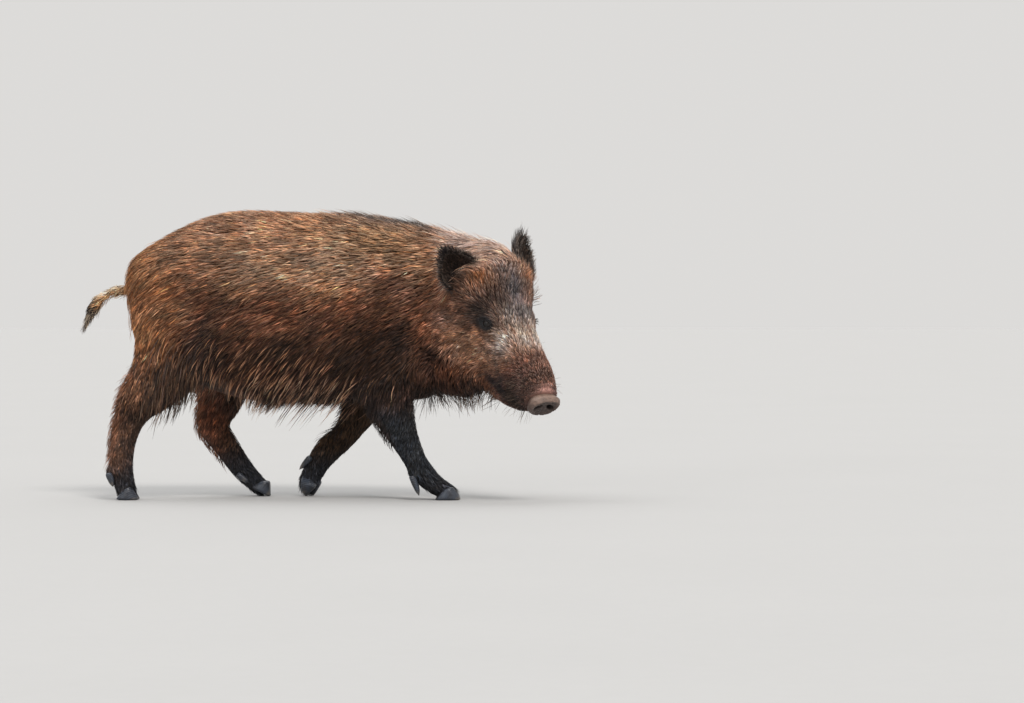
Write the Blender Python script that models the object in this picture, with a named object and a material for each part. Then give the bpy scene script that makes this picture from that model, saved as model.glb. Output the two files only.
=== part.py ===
"""A reddish yearling wild boar, still and life size, walking with its head low and turned to its right.

Metres, +Z up, +X the way the boar walks, +Y its left side. The solids hold the outline out to the tips of
the coat. The flesh is modelled whole, from lofted forms that a voxel remesh blends, and is then parted with
thin cuts.
"""

import math

import bmesh
import bpy
import numpy as np
from mathutils import Matrix, Vector

GAP = 0.0003              # between neighbouring solids
CLAY_VOXEL = 0.0055       # grid that blends the forms into one body
CLAY_SMOOTHING = 5
FLESH_TRIANGLES = 3250    # of the whole flesh, before it is parted
RING = 28                 # points round a body section
LIMB_RING = 18
BETWEEN = 5               # rings made between two named sections

# Where the head is, and how it is held: the point between the eyes, the turn to the right and the nod.
HEAD_AT = Vector((0.356, -0.128, 0.353))
HEAD_TURN = math.radians(-52)
HEAD_NOD = math.radians(51)

EYE_RADIUS = 0.0120
EYE_AT = Vector((0.004, 0.0505, 0.001))     # left eye, in the head's own axes
EYE_LOOKS = Vector((0.34, 0.93, 0.12))
DISC_FRONT = 0.2015                         # how far the snout's disc is in front of the eyes
DISC_THICK = 0.013
DISC_HALF = Vector((0.0, 0.0350, 0.0260))
DISC_DROP = -0.015                          # height of the disc's centre, from eye level
DISC_TILT = math.radians(-1)

# colour and roughness of each finish
FINISHES = {
    "coat": ((0.145, 0.072, 0.042), 0.75),
    "dark_coat": ((0.030, 0.022, 0.020), 0.75),
    "horn": ((0.045, 0.048, 0.055), 0.45),
    "snout_skin": ((0.180, 0.120, 0.100), 0.5),
    "eyeball": ((0.012, 0.008, 0.007), 0.08),
}

LEFT, RIGHT = 1, -1


# ---------------------------------------------------------------- helpers

def clear_scene():
    for obj in list(bpy.data.objects):
        bpy.data.objects.remove(obj)


def material(name, colour, roughness, metallic=0.0):
    made = bpy.data.materials.new(name)
    made.use_nodes = True
    shader = made.node_tree.nodes["Principled BSDF"]
    shader.inputs["Base Color"].default_value = (*colour, 1.0)
    shader.inputs["Roughness"].default_value = roughness
    shader.inputs["Metallic"].default_value = metallic
    return made


def new_object(name, mesh, finish=None):
    obj = bpy.data.objects.new(name, mesh)
    bpy.context.scene.collection.objects.link(obj)
    if finish:
        mesh.materials.clear()
        mesh.materials.append(finish)
    return obj


def mesh_from(name, bm):
    bmesh.ops.triangulate(bm, faces=bm.faces)
    bmesh.ops.recalc_face_normals(bm, faces=bm.faces)
    mesh = bpy.data.meshes.new(name)
    bm.to_mesh(mesh)
    bm.free()
    return mesh


def evaluated(obj):
    """The object's mesh with its modifiers, as a mesh of its own."""
    graph = bpy.context.evaluated_depsgraph_get()
    graph.update()
    return bpy.data.meshes.new_from_object(obj.evaluated_get(graph))


def smooth_rows(rows, between=BETWEEN):
    """Rows of numbers with a Catmull-Rom curve through them, and extra rows between each pair."""
    rows = np.array(rows, float)
    ends = np.vstack([2 * rows[0] - rows[1], rows, 2 * rows[-1] - rows[-2]])
    made = []
    for i in range(1, len(ends) - 2):
        a, b, c, d = ends[i - 1:i + 3]
        for step in range(between):
            t = step / between
            made.append(0.5 * (2 * b + (c - a) * t + (2 * a - 5 * b + 4 * c - d) * t ** 2
                               + (3 * b - a - 3 * c + d) * t ** 3))
    made.append(rows[-1])
    return made


def signed_power(value, power):
    return math.copysign(abs(value) ** power, value)


def add_rings(bm, rings):
    """Skins a row of rings of points and closes both ends."""
    loops = [[bm.verts.new(point) for point in ring] for ring in rings]
    count = len(loops[0])
    for one, two in zip(loops, loops[1:]):
        for k in range(count):
            nxt = (k + 1) % count
            bm.faces.new((one[k], one[nxt], two[nxt], two[k]))
    bm.faces.new(list(reversed(loops[0])))
    bm.faces.new(loops[-1])


def section(centre, side, up, half, rise, drop, squareness, count=RING):
    """A superellipse round a centre, with its own height above and below it."""
    ring = []
    for k in range(count):
        angle = 2 * math.pi * k / count
        across = half * signed_power(math.cos(angle), 2 / squareness)
        high = signed_power(math.sin(angle), 2 / squareness)
        ring.append(centre + side * across + up * (high * (rise if high > 0 else drop)))
    return ring


def turned(yaw, nod):
    """Axes of a section that faces yaw round Z and nods down: forward, left and up as columns."""
    return Matrix.Rotation(yaw, 3, "Z") @ Matrix.Rotation(nod, 3, "Y")


HEAD_AXES = turned(HEAD_TURN, HEAD_NOD)
HEAD = Matrix.Translation(HEAD_AT) @ HEAD_AXES.to_4x4()


def in_head(x, y, z):
    """A point in the head's own axes (forward, left, up from between the eyes) as a point of the model."""
    return HEAD @ Vector((x, y, z))


def ellipsoid(bm, centre, radii, axes=Matrix.Identity(3), divisions=20):
    frame = Matrix.Translation(centre) @ axes.to_4x4() @ Matrix.Diagonal((*radii, 1.0))
    bmesh.ops.create_uvsphere(bm, u_segments=divisions, v_segments=divisions // 2, radius=1.0, matrix=frame)


def box(name, lowest, highest, frame=Matrix.Identity(4), grow=0.0):
    """A closed box between two corners in a frame of its own, grown on every side."""
    bm = bmesh.new()
    low = Vector(lowest) - Vector((grow,) * 3)
    high = Vector(highest) + Vector((grow,) * 3)
    size = high - low
    bmesh.ops.create_cube(bm, size=1.0)
    bm.transform(frame @ Matrix.Translation((low + high) / 2) @ Matrix.Diagonal((*size, 1.0)))
    return new_object(name, mesh_from(name, bm))


def combined(mesh, other, operation):
    """The mesh after an exact Boolean with another object."""
    obj = new_object("work", mesh)
    step = obj.modifiers.new("cut", "BOOLEAN")
    step.object = other
    step.operation = operation
    step.solver = "EXACT"
    made = evaluated(obj)
    bpy.data.objects.remove(obj)
    return made


def largest_body(mesh):
    """Keeps the biggest connected piece, so that a cut leaves no crumbs."""
    bm = bmesh.new()
    bm.from_mesh(mesh)
    left, groups = set(bm.verts), []
    while left:
        todo, group = [left.pop()], []
        while todo:
            vert = todo.pop()
            group.append(vert)
            for edge in vert.link_edges:
                other = edge.other_vert(vert)
                if other in left:
                    left.remove(other)
                    todo.append(other)
        groups.append(group)
    groups.sort(key=len)
    for group in groups[:-1]:
        bmesh.ops.delete(bm, geom=group, context="VERTS")
    bm.to_mesh(mesh)
    bm.free()
    return mesh


def swollen(mesh, by):
    """A copy of the mesh pushed outwards, to cut a neighbour with the gap left free."""
    bm = bmesh.new()
    bm.from_mesh(mesh)
    bm.normal_update()
    moves = [vert.normal.copy() * by * vert.calc_shell_factor() for vert in bm.verts]
    for vert, move in zip(bm.verts, moves):
        vert.co += move
    copy = bpy.data.meshes.new("swollen")
    bm.to_mesh(copy)
    bm.free()
    return copy


def fit_against(mesh, neighbour, gap=GAP):
    """The mesh with its neighbour's space, and the gap, cut out of it."""
    cutter = new_object("cutter", swollen(neighbour, gap))
    made = combined(mesh, cutter, "DIFFERENCE")
    bpy.data.objects.remove(cutter)
    return largest_body(made)


# ---------------------------------------------------------------- trunk and neck

# place along the body, top of the coat, belly, half width, and where between them the body is widest
TRUNK = [
    (-0.404, 0.452, 0.404, 0.022, 0.5),
    (-0.396, 0.476, 0.372, 0.052, 0.5),
    (-0.366, 0.499, 0.312, 0.084, 0.5),
    (-0.315, 0.531, 0.255, 0.102, 0.48),
    (-0.260, 0.558, 0.225, 0.107, 0.46),
    (-0.200, 0.574, 0.204, 0.110, 0.44),
    (-0.140, 0.577, 0.193, 0.116, 0.43),
    (-0.080, 0.574, 0.187, 0.121, 0.43),
    (-0.020, 0.571, 0.184, 0.121, 0.43),
    (0.040, 0.568, 0.187, 0.115, 0.44),
    (0.100, 0.561, 0.192, 0.106, 0.45),
    (0.150, 0.553, 0.193, 0.098, 0.46),
]
TRUNK_SQUARE = 2.25

# centre, turn and nod in degrees, half width, height above and below the centre
NECK = [
    ((0.150, 0.000, 0.374), 0, 0, 0.098, 0.179, 0.181),
    ((0.205, -0.006, 0.371), -9, 7, 0.092, 0.169, 0.176),
    ((0.246, -0.021, 0.372), -20, 17, 0.088, 0.155, 0.170),
    ((0.277, -0.042, 0.383), -35, 33, 0.086, 0.147, 0.160),
    ((0.304, -0.062, 0.401), -52, 51, 0.085, 0.107, 0.115),
]


def trunk_form(bm):
    rings = []
    for x, top, low, half, widest in smooth_rows(TRUNK):
        centre = Vector((x, 0, low + (top - low) * widest))
        rings.append(section(centre, Vector((0, 1, 0)), Vector((0, 0, 1)), half,
                             top - centre.z, centre.z - low, TRUNK_SQUARE))
    add_rings(bm, rings)


def neck_form(bm):
    rows = [(*at, turn, nod, half, rise, drop) for at, turn, nod, half, rise, drop in NECK]
    rings = []
    for x, y, z, turn, nod, half, rise, drop in smooth_rows(rows):
        axes = turned(math.radians(turn), math.radians(nod))
        rings.append(section(Vector((x, y, z)), axes.col[1], axes.col[2], half, rise, drop, 2.2))
    add_rings(bm, rings)
    # the loose throat between the jaw and the brisket
    ellipsoid(bm, (0.255, -0.048, 0.256), (0.105, 0.056, 0.058),
              turned(math.radians(-38), math.radians(2)))
    ellipsoid(bm, (0.185, -0.005, 0.245), (0.070, 0.070, 0.052))
    # the fold behind the jowl on the side the head is turned to
    ellipsoid(bm, (0.225, -0.080, 0.325), (0.060, 0.036, 0.085), turned(math.radians(-30), 0))


def shoulder_and_hip_forms(bm):
    for side in (LEFT, RIGHT):
        tilt = Matrix.Rotation(math.radians(14), 3, "Y")
        ellipsoid(bm, (0.128, side * 0.060, 0.350), (0.078, 0.050, 0.150), tilt)
        ellipsoid(bm, (-0.290, side * 0.056, 0.375), (0.095, 0.052, 0.130))


# ---------------------------------------------------------------- head

# from the poll to behind the disc: place, top, underside, half width, where it is widest
SKULL = [
    (-0.135, 0.056, -0.080, 0.060, 0.50),
    (-0.105, 0.069, -0.115, 0.089, 0.54),
    (-0.070, 0.064, -0.130, 0.094, 0.54),
    (-0.035, 0.052, -0.128, 0.082, 0.50),
    (0.000, 0.041, -0.112, 0.069, 0.52),
    (0.035, 0.036, -0.092, 0.056, 0.50),
    (0.070, 0.033, -0.076, 0.049, 0.50),
    (0.105, 0.032, -0.063, 0.045, 0.48),
    (0.140, 0.031, -0.056, 0.043, 0.46),
    (0.168, 0.025, -0.050, 0.040, 0.46),
    (DISC_FRONT - DISC_THICK, 0.013, -0.042, 0.034, 0.50),
]
JAW = [
    (-0.050, -0.040, -0.158, 0.056, 0.40),
    (0.000, -0.040, -0.163, 0.050, 0.40),
    (0.050, -0.036, -0.150, 0.042, 0.42),
    (0.095, -0.034, -0.128, 0.035, 0.45),
    (0.130, -0.036, -0.100, 0.030, 0.50),
    (0.160, -0.040, -0.078, 0.025, 0.50),
    (0.174, -0.044, -0.068, 0.014, 0.50),
]


def head_loft(bm, rows, squareness):
    left, up = HEAD_AXES.col[1], HEAD_AXES.col[2]
    rings = []
    for x, top, low, half, widest in smooth_rows(rows):
        middle = low + (top - low) * widest
        centre = in_head(x, 0, middle)
        rings.append(section(centre, left, up, half, top - middle, middle - low, squareness))
    add_rings(bm, rings)


def head_form(bm):
    head_loft(bm, SKULL, 2.3)
    head_loft(bm, JAW, 2.2)
    for side in (LEFT, RIGHT):
        # brow over the eye, cheekbone under it, jowl behind it, and the root of the tusk in the lip
        ellipsoid(bm, in_head(-0.006, side * 0.040, 0.020), (0.026, 0.014, 0.013), HEAD_AXES)
        ellipsoid(bm, in_head(0.002, side * 0.046, -0.030), (0.034, 0.016, 0.020), HEAD_AXES)
        ellipsoid(bm, in_head(-0.045, side * 0.048, -0.070), (0.055, 0.036, 0.056), HEAD_AXES)
        ellipsoid(bm, in_head(0.115, side * 0.026, -0.036), (0.028, 0.013, 0.013), HEAD_AXES)


# ---------------------------------------------------------------- legs

# Each row of a leg is a joint or a place between: x, y, z, half depth fore and aft, half width.
HIND_RIGHT = [
    (-0.305, -0.062, 0.400, 0.090, 0.042),
    (-0.298, -0.068, 0.320, 0.094, 0.048),
    (-0.320, -0.072, 0.266, 0.076, 0.042),
    (-0.350, -0.074, 0.226, 0.058, 0.031),
    (-0.379, -0.075, 0.194, 0.046, 0.024),
    (-0.395, -0.075, 0.158, 0.031, 0.019),
    (-0.406, -0.075, 0.119, 0.026, 0.018),
    (-0.410, -0.075, 0.075, 0.023, 0.020),
    (-0.407, -0.075, 0.044, 0.020, 0.021),
    (-0.403, -0.075, 0.030, 0.0195, 0.022),
    (-0.400, -0.075, 0.012, 0.018, 0.020),
]
HIND_LEFT = [
    (-0.295, 0.062, 0.400, 0.085, 0.042),
    (-0.255, 0.067, 0.318, 0.090, 0.048),
    (-0.221, 0.069, 0.256, 0.070, 0.043),
    (-0.224, 0.070, 0.198, 0.048, 0.031),
    (-0.240, 0.070, 0.146, 0.032, 0.021),
    (-0.213, 0.070, 0.103, 0.026, 0.018),
    (-0.190, 0.070, 0.069, 0.023, 0.018),
    (-0.173, 0.070, 0.046, 0.021, 0.020),
    (-0.158, 0.070, 0.032, 0.018, 0.020),
    (-0.147, 0.070, 0.021, 0.015, 0.019),
    (-0.140, 0.070, 0.014, 0.010, 0.015),
]
FORE_RIGHT = [
    (0.118, -0.062, 0.330, 0.078, 0.044),
    (0.116, -0.070, 0.252, 0.066, 0.043),
    (0.122, -0.074, 0.200, 0.052, 0.034),
    (0.138, -0.076, 0.151, 0.036, 0.026),
    (0.155, -0.077, 0.113, 0.027, 0.022),
    (0.174, -0.078, 0.076, 0.022, 0.019),
    (0.189, -0.078, 0.052, 0.022, 0.021),
    (0.207, -0.078, 0.033, 0.019, 0.023),
    (0.220, -0.078, 0.025, 0.017, 0.022),
    (0.235, -0.078, 0.018, 0.014, 0.020),
    (0.243, -0.078, 0.011, 0.010, 0.016),
]
FORE_LEFT = [
    (0.112, 0.062, 0.330, 0.078, 0.044),
    (0.090, 0.067, 0.250, 0.064, 0.042),
    (0.066, 0.070, 0.192, 0.045, 0.032),
    (0.042, 0.071, 0.146, 0.030, 0.024),
    (0.026, 0.071, 0.122, 0.026, 0.021),
    (-0.002, 0.071, 0.099, 0.028, 0.020),
    (-0.024, 0.071, 0.073, 0.024, 0.019),
    (-0.038, 0.071, 0.048, 0.021, 0.020),
    (-0.045, 0.071, 0.030, 0.018, 0.019),
    (-0.047, 0.071, 0.014, 0.016, 0.017),
]
LEGS = {"leg_hind_right": HIND_RIGHT, "leg_hind_left": HIND_LEFT,
        "leg_fore_right": FORE_RIGHT, "leg_fore_left": FORE_LEFT}


def limb_form(bm, rows):
    """A tapering limb whose rings stand square to its own line."""
    rows = smooth_rows(rows, 4)
    points = [Vector(row[:3]) for row in rows]
    rings = []
    for i, row in enumerate(rows):
        along = (points[min(i + 1, len(points) - 1)] - points[max(i - 1, 0)]).normalized()
        side = Vector((0, 1, 0))
        front = side.cross(along).normalized()
        rings.append(section(points[i], side, front, row[4], row[3], row[3], 2.1, LIMB_RING))
    add_rings(bm, rings)


# ---------------------------------------------------------------- the flesh, whole

def flesh_mesh():
    bm = bmesh.new()
    trunk_form(bm)
    neck_form(bm)
    shoulder_and_hip_forms(bm)
    head_form(bm)
    for rows in LEGS.values():
        limb_form(bm, rows)
    for foot in FEET.values():
        # the side toes stand on a small pad behind the fetlock
        (back, high), slope, length = foot["dewclaw"]
        pad = (back + 0.006, foot["toe"][1], high + 0.004)
        ellipsoid(bm, pad, (0.014, 0.021, 0.015), divisions=12)
    clay = new_object("clay", mesh_from("clay", bm))
    blend = clay.modifiers.new("blend", "REMESH")
    blend.mode = "VOXEL"
    blend.voxel_size = CLAY_VOXEL
    soften = clay.modifiers.new("soften", "SMOOTH")
    soften.iterations = CLAY_SMOOTHING
    soften.factor = 0.5
    fine = evaluated(clay)
    bpy.data.objects.remove(clay)
    fine_object = new_object("fine", fine)
    thin = fine_object.modifiers.new("thin", "DECIMATE")
    thin.ratio = FLESH_TRIANGLES / (2 * len(fine.polygons))
    made = evaluated(fine_object)
    bpy.data.objects.remove(fine_object)
    return largest_body(made)


# ---------------------------------------------------------------- claws

# toe: where the tips stand, raise: how far the heel is off the floor, turn: the way the toes point,
# splay: how much more one claw is raised than the other, dewclaw: its root, its slope and its length
FEET = {
    "hind_right": dict(toe=(-0.374, -0.075), raised=2, turn=0, length=0.045, splay=0,
                       dewclaw=((-0.434, 0.052), 70, 0.027)),
    "hind_left": dict(toe=(-0.124, 0.070), raised=29, turn=0, length=0.044, splay=0,
                      dewclaw=((-0.189, 0.043), 33, 0.027)),
    "fore_right": dict(toe=(0.263, -0.078), raised=1, turn=0, length=0.052, splay=0,
                       dewclaw=((0.166, 0.047), 70, 0.040)),
    "fore_left": dict(toe=(-0.046, 0.071), raised=76, turn=-36, length=0.044, splay=7,
                      dewclaw=((-0.034, 0.079), 130, 0.032)),
}
CLAW_HALF = 0.0122        # half width of one claw
CLAW_HEIGHT = 0.0270      # at the front, from the sole to under the hairline
CLAW_HEEL = 0.0190
CLAW_SLOPE = 0.55         # how far the wall leans back for its height
CLAW_SPREAD = 0.0128      # from the cleft to a claw's middle line
DEWCLAW_HALF = 0.0068
DEWCLAW_SPREAD = 0.0170


def hoof_claw(toe, raised, turn, length):
    """One claw of a hoof: a flat sole, pointed at the toe, and a wall that leans back up to the hairline."""
    stand = Matrix.Translation(toe) @ turned(turn, raised).to_4x4()
    rings = []
    for t, grow in ((0.0, 0.92), (0.08, 1.0), (0.55, 0.97), (1.0, 0.90)):
        ring = []
        for k in range(12):
            angle = 2 * math.pi * k / 12
            c, s = math.cos(angle), math.sin(angle)
            long = length * (1 - 0.24 * t)
            x = long * 0.5 * (c * grow - 1) - CLAW_HEIGHT * CLAW_SLOPE * t * 0.5 * (1 + c)
            y = CLAW_HALF * s * grow * (1 - 0.50 * max(c, 0) ** 2) * (1 - 0.15 * max(-c, 0))
            z = t * (CLAW_HEEL + (CLAW_HEIGHT - CLAW_HEEL) * 0.5 * (1 + c))
            ring.append(stand @ Vector((x, y, z)))
        rings.append(ring)
    bm = bmesh.new()
    add_rings(bm, rings)
    return mesh_from("claw", bm)


def dewclaw(root, slope, turn, length):
    """The small pointed hoof of a side toe, domed outside."""
    axes = turned(turn, slope)
    rings = []
    steps = 4
    for i in range(steps + 1):
        t = i / steps
        swell = DEWCLAW_HALF * math.sqrt(max(1 - t ** 2.2, 0.03))
        centre = root + axes.col[0] * (length * t)
        rings.append(section(centre, axes.col[1], axes.col[2], swell, swell * 1.1, swell * 0.8, 2.2, 8))
    bm = bmesh.new()
    add_rings(bm, rings)
    return mesh_from("dewclaw", bm)


def above_floor(mesh):
    """The mesh with a small flat where it would go under the floor."""
    floor = box("floor", (-2, -2, -1), (2, 2, 0.0))
    made = combined(mesh, floor, "DIFFERENCE")
    bpy.data.objects.remove(floor)
    return made


def claws_of(foot):
    """The two claws that bear weight and the two dewclaws behind them, as (name, mesh)."""
    turn = math.radians(foot["turn"])
    toe = Vector((*foot["toe"], -0.0012))
    across = Vector((-math.sin(turn), math.cos(turn), 0))
    (back, high), slope, length = foot["dewclaw"]
    made = []
    for side, word in ((LEFT, "left"), (RIGHT, "right")):
        raised = math.radians(foot["raised"] - side * foot["splay"])
        tip = toe + across * (side * CLAW_SPREAD)
        shape = hoof_claw(tip, raised, turn - side * math.radians(3), foot["length"])
        made.append((f"claw_{word}", shape))
        root = Vector((back, foot["toe"][1], high)) + across * (side * DEWCLAW_SPREAD)
        shape = dewclaw(root, math.radians(slope), side * math.radians(8), length)
        made.append((f"dewclaw_{word}", shape))
    return made


# ---------------------------------------------------------------- ears, tail, eyes, snout disc

EAR_HALF = 0.039
EAR_THICK = 0.0065
# where each ear grows, the way its tip points and the way it opens, in the head's own axes
EARS = {
    "ear_right": dict(base=(-0.104, -0.060, 0.022), way=(-0.30, -0.88, 0.26),
                      opening=(0.91, -0.24, 0.185), length=0.084),
    "ear_left": dict(base=(-0.108, 0.070, 0.022), way=(-0.86, 0.28, 0.40),
                     opening=(0.98, 0.05, 0.10), length=0.090),
}


def ear(base, way, opening, length):
    """A leaf-shaped ear, cupped towards its opening, of even thickness."""
    along = (HEAD_AXES @ Vector(way)).normalized()
    out = HEAD_AXES @ Vector(opening)
    out = (out - along * out.dot(along)).normalized()
    across = along.cross(out)
    root = in_head(*base) - along * 0.012
    rows, columns = 7, 6
    bm = bmesh.new()
    grid = []
    for i in range(rows + 1):
        t = i / rows
        half = EAR_HALF * (math.sin(math.pi * (0.18 + 0.82 * t)) ** 0.75 if t < 1 else 0.0)
        half = max(half, 0.0022)
        cup = math.radians(78) * (1 - 0.55 * t)
        line = []
        for j in range(columns + 1):
            s = 2 * j / columns - 1
            bend = s * cup
            radius = half / max(math.sin(cup), 0.2)
            point = root + along * ((length + 0.012) * t) + across * (radius * math.sin(bend))
            point += out * (radius * (1 - math.cos(bend)) - 0.010 * math.sin(math.pi * t))
            line.append(bm.verts.new(point))
        grid.append(line)
    for one, two in zip(grid, grid[1:]):
        for j in range(columns):
            bm.faces.new((one[j], one[j + 1], two[j + 1], two[j]))
    obj = new_object("ear_sheet", mesh_from("ear_sheet", bm))
    wall = obj.modifiers.new("wall", "SOLIDIFY")
    wall.thickness = EAR_THICK
    wall.offset = 0.0
    bm = bmesh.new()
    bm.from_mesh(evaluated(obj))
    bpy.data.objects.remove(obj)
    return mesh_from("ear", bm)


TAIL = [
    (-0.385, 0.000, 0.424, 0.0125),
    (-0.405, 0.002, 0.420, 0.0115),
    (-0.428, 0.005, 0.414, 0.0085),
    (-0.448, 0.008, 0.404, 0.0085),
    (-0.464, 0.010, 0.391, 0.0115),
    (-0.476, 0.011, 0.374, 0.0095),
    (-0.485, 0.012, 0.352, 0.0040),
]


def tail():
    bm = bmesh.new()
    rows = smooth_rows(TAIL, 2)
    points = [Vector(row[:3]) for row in rows]
    rings = []
    for i, row in enumerate(rows):
        along = (points[min(i + 1, len(points) - 1)] - points[max(i - 1, 0)]).normalized()
        side = Vector((0, 1, 0))
        rings.append(section(points[i], side, side.cross(along).normalized(), row[3], row[3], row[3], 2, 9))
    add_rings(bm, rings)
    return mesh_from("tail", bm)


def eye(side):
    bm = bmesh.new()
    at = in_head(EYE_AT.x, side * EYE_AT.y, EYE_AT.z)
    ellipsoid(bm, at, (EYE_RADIUS,) * 3, HEAD_AXES, 14)
    return mesh_from("eye", bm)


def eye_socket(side):
    """What is left free in front of an eye: a short funnel that widens outwards through the coat."""
    at = in_head(EYE_AT.x, side * EYE_AT.y, EYE_AT.z)
    way = HEAD_AXES @ Vector((EYE_LOOKS.x, side * EYE_LOOKS.y, EYE_LOOKS.z))
    depth = 0.030
    frame = Matrix.Translation(at) @ way.to_track_quat("Z", "Y").to_matrix().to_4x4()
    bm = bmesh.new()
    bmesh.ops.create_cone(bm, cap_ends=True, segments=20, radius1=0.0088, radius2=0.0170,
                          depth=depth, matrix=frame @ Matrix.Translation((0, 0, depth / 2 + 0.003)))
    return new_object("eye_socket", mesh_from("eye_socket", bm))


def disc_frame():
    tilt = Matrix.Rotation(DISC_TILT, 4, "Y")
    return HEAD @ Matrix.Translation((DISC_FRONT, 0, DISC_DROP)) @ tilt


def snout_disc():
    """The bare disc at the snout's end, with a rolled rim."""
    frame = disc_frame()
    rings = []
    for back, grow in ((-DISC_THICK, 0.90), (-0.005, 1.02), (-0.001, 1.0), (0.0, 0.93),
                       (0.0005, 0.20)):
        ring = []
        for k in range(24):
            angle = 2 * math.pi * k / 24
            wide = DISC_HALF.y * signed_power(math.cos(angle), 2 / 2.4) * grow
            high = DISC_HALF.z * signed_power(math.sin(angle), 2 / 2.2) * grow
            wide *= 1 + 0.10 * math.sin(angle)        # a little broader above than below
            ring.append(frame @ Vector((back, wide, high)))
        rings.append(ring)
    bm = bmesh.new()
    add_rings(bm, rings)
    return mesh_from("snout_disc", bm)


def with_nostrils(mesh):
    """The disc with two blind recesses in its face."""
    frame = disc_frame()
    for side in (LEFT, RIGHT):
        hole = bmesh.new()
        place = Matrix.Translation((0, side * 0.0155, 0.001))
        tube = place @ Matrix.Diagonal((0.009, 0.0068, 0.0052, 1.0))
        bmesh.ops.create_uvsphere(hole, u_segments=12, v_segments=6, radius=1.0, matrix=frame @ tube)
        cutter = new_object("nostril", mesh_from("nostril", hole))
        mesh = combined(mesh, cutter, "DIFFERENCE")
        bpy.data.objects.remove(cutter)
    return mesh


# ---------------------------------------------------------------- parting

def parting_boxes():
    """Each box holds one part of the flesh; what none of them holds is the trunk."""
    occiput = HEAD @ Matrix.Translation((-0.088, 0, 0))
    collar = Matrix.Translation((0.165, 0, 0)) @ turned(math.radians(-6), math.radians(9)).to_4x4()
    thigh = Matrix.Translation((-0.17, 0, 0.235)) @ turned(0, math.radians(33)).to_4x4()
    near_elbow = Matrix.Translation((0.118, 0, 0.240)) @ turned(0, math.radians(-22)).to_4x4()
    far_elbow = Matrix.Translation((0.090, 0, 0.232)) @ turned(0, math.radians(28)).to_4x4()
    reach = 0.5
    half_gap = GAP / 2
    return {
        "head": (occiput, (0, -0.112, -0.180), (reach, 0.16, 0.20)),
        "neck": (collar, (0, -reach, 0.195), (reach, reach, 0.9)),
        "leg_hind_right": (thigh, (-reach, -reach, -reach), (0.174, -half_gap, 0)),
        "leg_hind_left": (thigh, (-reach, half_gap, -reach), (0.174, reach, 0)),
        "leg_fore_right": (near_elbow, (-0.085, -reach, -reach), (0.085, -0.024, 0)),
        "leg_fore_left": (far_elbow, (-0.080, 0.024, -reach), (0.085, reach, 0)),
    }


def part_flesh(flesh):
    """The flesh cut into its named parts, with a thin gap at each cut."""
    parts = {}
    for name, (frame, low, high) in parting_boxes().items():
        inside = box("inside", low, high, frame)
        parts[name] = largest_body(combined(flesh, inside, "INTERSECT"))
        bpy.data.objects.remove(inside)
        around = box("around", low, high, frame, grow=GAP)
        flesh = combined(flesh, around, "DIFFERENCE")
        bpy.data.objects.remove(around)
    parts["trunk"] = largest_body(flesh)
    return parts


# ---------------------------------------------------------------- assembly

def centre_on_floor(objects):
    """Moves everything so that the origin is on the floor under the middle of the whole boar."""
    points = np.array([vert.co for obj in objects for vert in obj.data.vertices])
    low, high = points.min(0), points.max(0)
    shift = Matrix.Translation((-(low[0] + high[0]) / 2, -(low[1] + high[1]) / 2, -low[2]))
    for obj in objects:
        obj.data.transform(shift)
    return shift


def build():
    clear_scene()
    solids = {}
    flesh = flesh_mesh()
    parts = part_flesh(flesh)
    for side, word in ((LEFT, "left"), (RIGHT, "right")):
        ball = eye(side)
        socket = eye_socket(side)
        parts["head"] = combined(parts["head"], socket, "DIFFERENCE")
        bpy.data.objects.remove(socket)
        parts["head"] = fit_against(parts["head"], ball)
        solids[f"eye_{word}"] = (ball, "eyeball")
    disc = snout_disc()
    parts["head"] = fit_against(parts["head"], disc)
    solids["snout_disc"] = (with_nostrils(disc), "snout_skin")
    for name, spec in EARS.items():
        shape = ear(**spec)
        for neighbour in ("head", "neck"):
            shape = fit_against(shape, parts[neighbour])
        solids[name] = (shape, "dark_coat")
    solids["tail"] = (fit_against(tail(), parts["trunk"]), "coat")
    for foot, spec in FEET.items():
        leg = f"leg_{foot}"
        for name, shape in claws_of(spec):
            parts[leg] = fit_against(parts[leg], shape)
            solids[f"{name}_{foot}"] = (above_floor(shape), "horn")
    for name, mesh in parts.items():
        solids[name] = (mesh, "dark_coat" if name.startswith("leg") else "coat")

    objects = []
    for name, (mesh, finish) in solids.items():
        objects.append(new_object(name, mesh, material(f"{finish}_of_{name}", *FINISHES[finish])))
    centre_on_floor(objects)
    for obj in objects:
        obj.data.name = obj.name
        obj.data.shade_smooth()
        obj.data.set_sharp_from_angle(angle=math.radians(40))


build()
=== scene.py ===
# %% [markdown]
# # A young wild boar, walking
#
# The model is a life-size yearling wild boar in mid step, its head low and turned to its right. The CAD
# frame holds its solids, whose outline runs out to the tips of the coat. Here they get a skin, eyes, a
# snout, hooves and about 127,000 tufts of hair. Nothing is simulated: an animal that stands still is
# modelling work, as a museum's taxidermist would do it, from the form under the skin outwards.

# %% Load the frame
import math

import bmesh
import bpy
import numpy as np
from mathutils import Matrix, Vector
from mathutils.bvhtree import BVHTree


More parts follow.
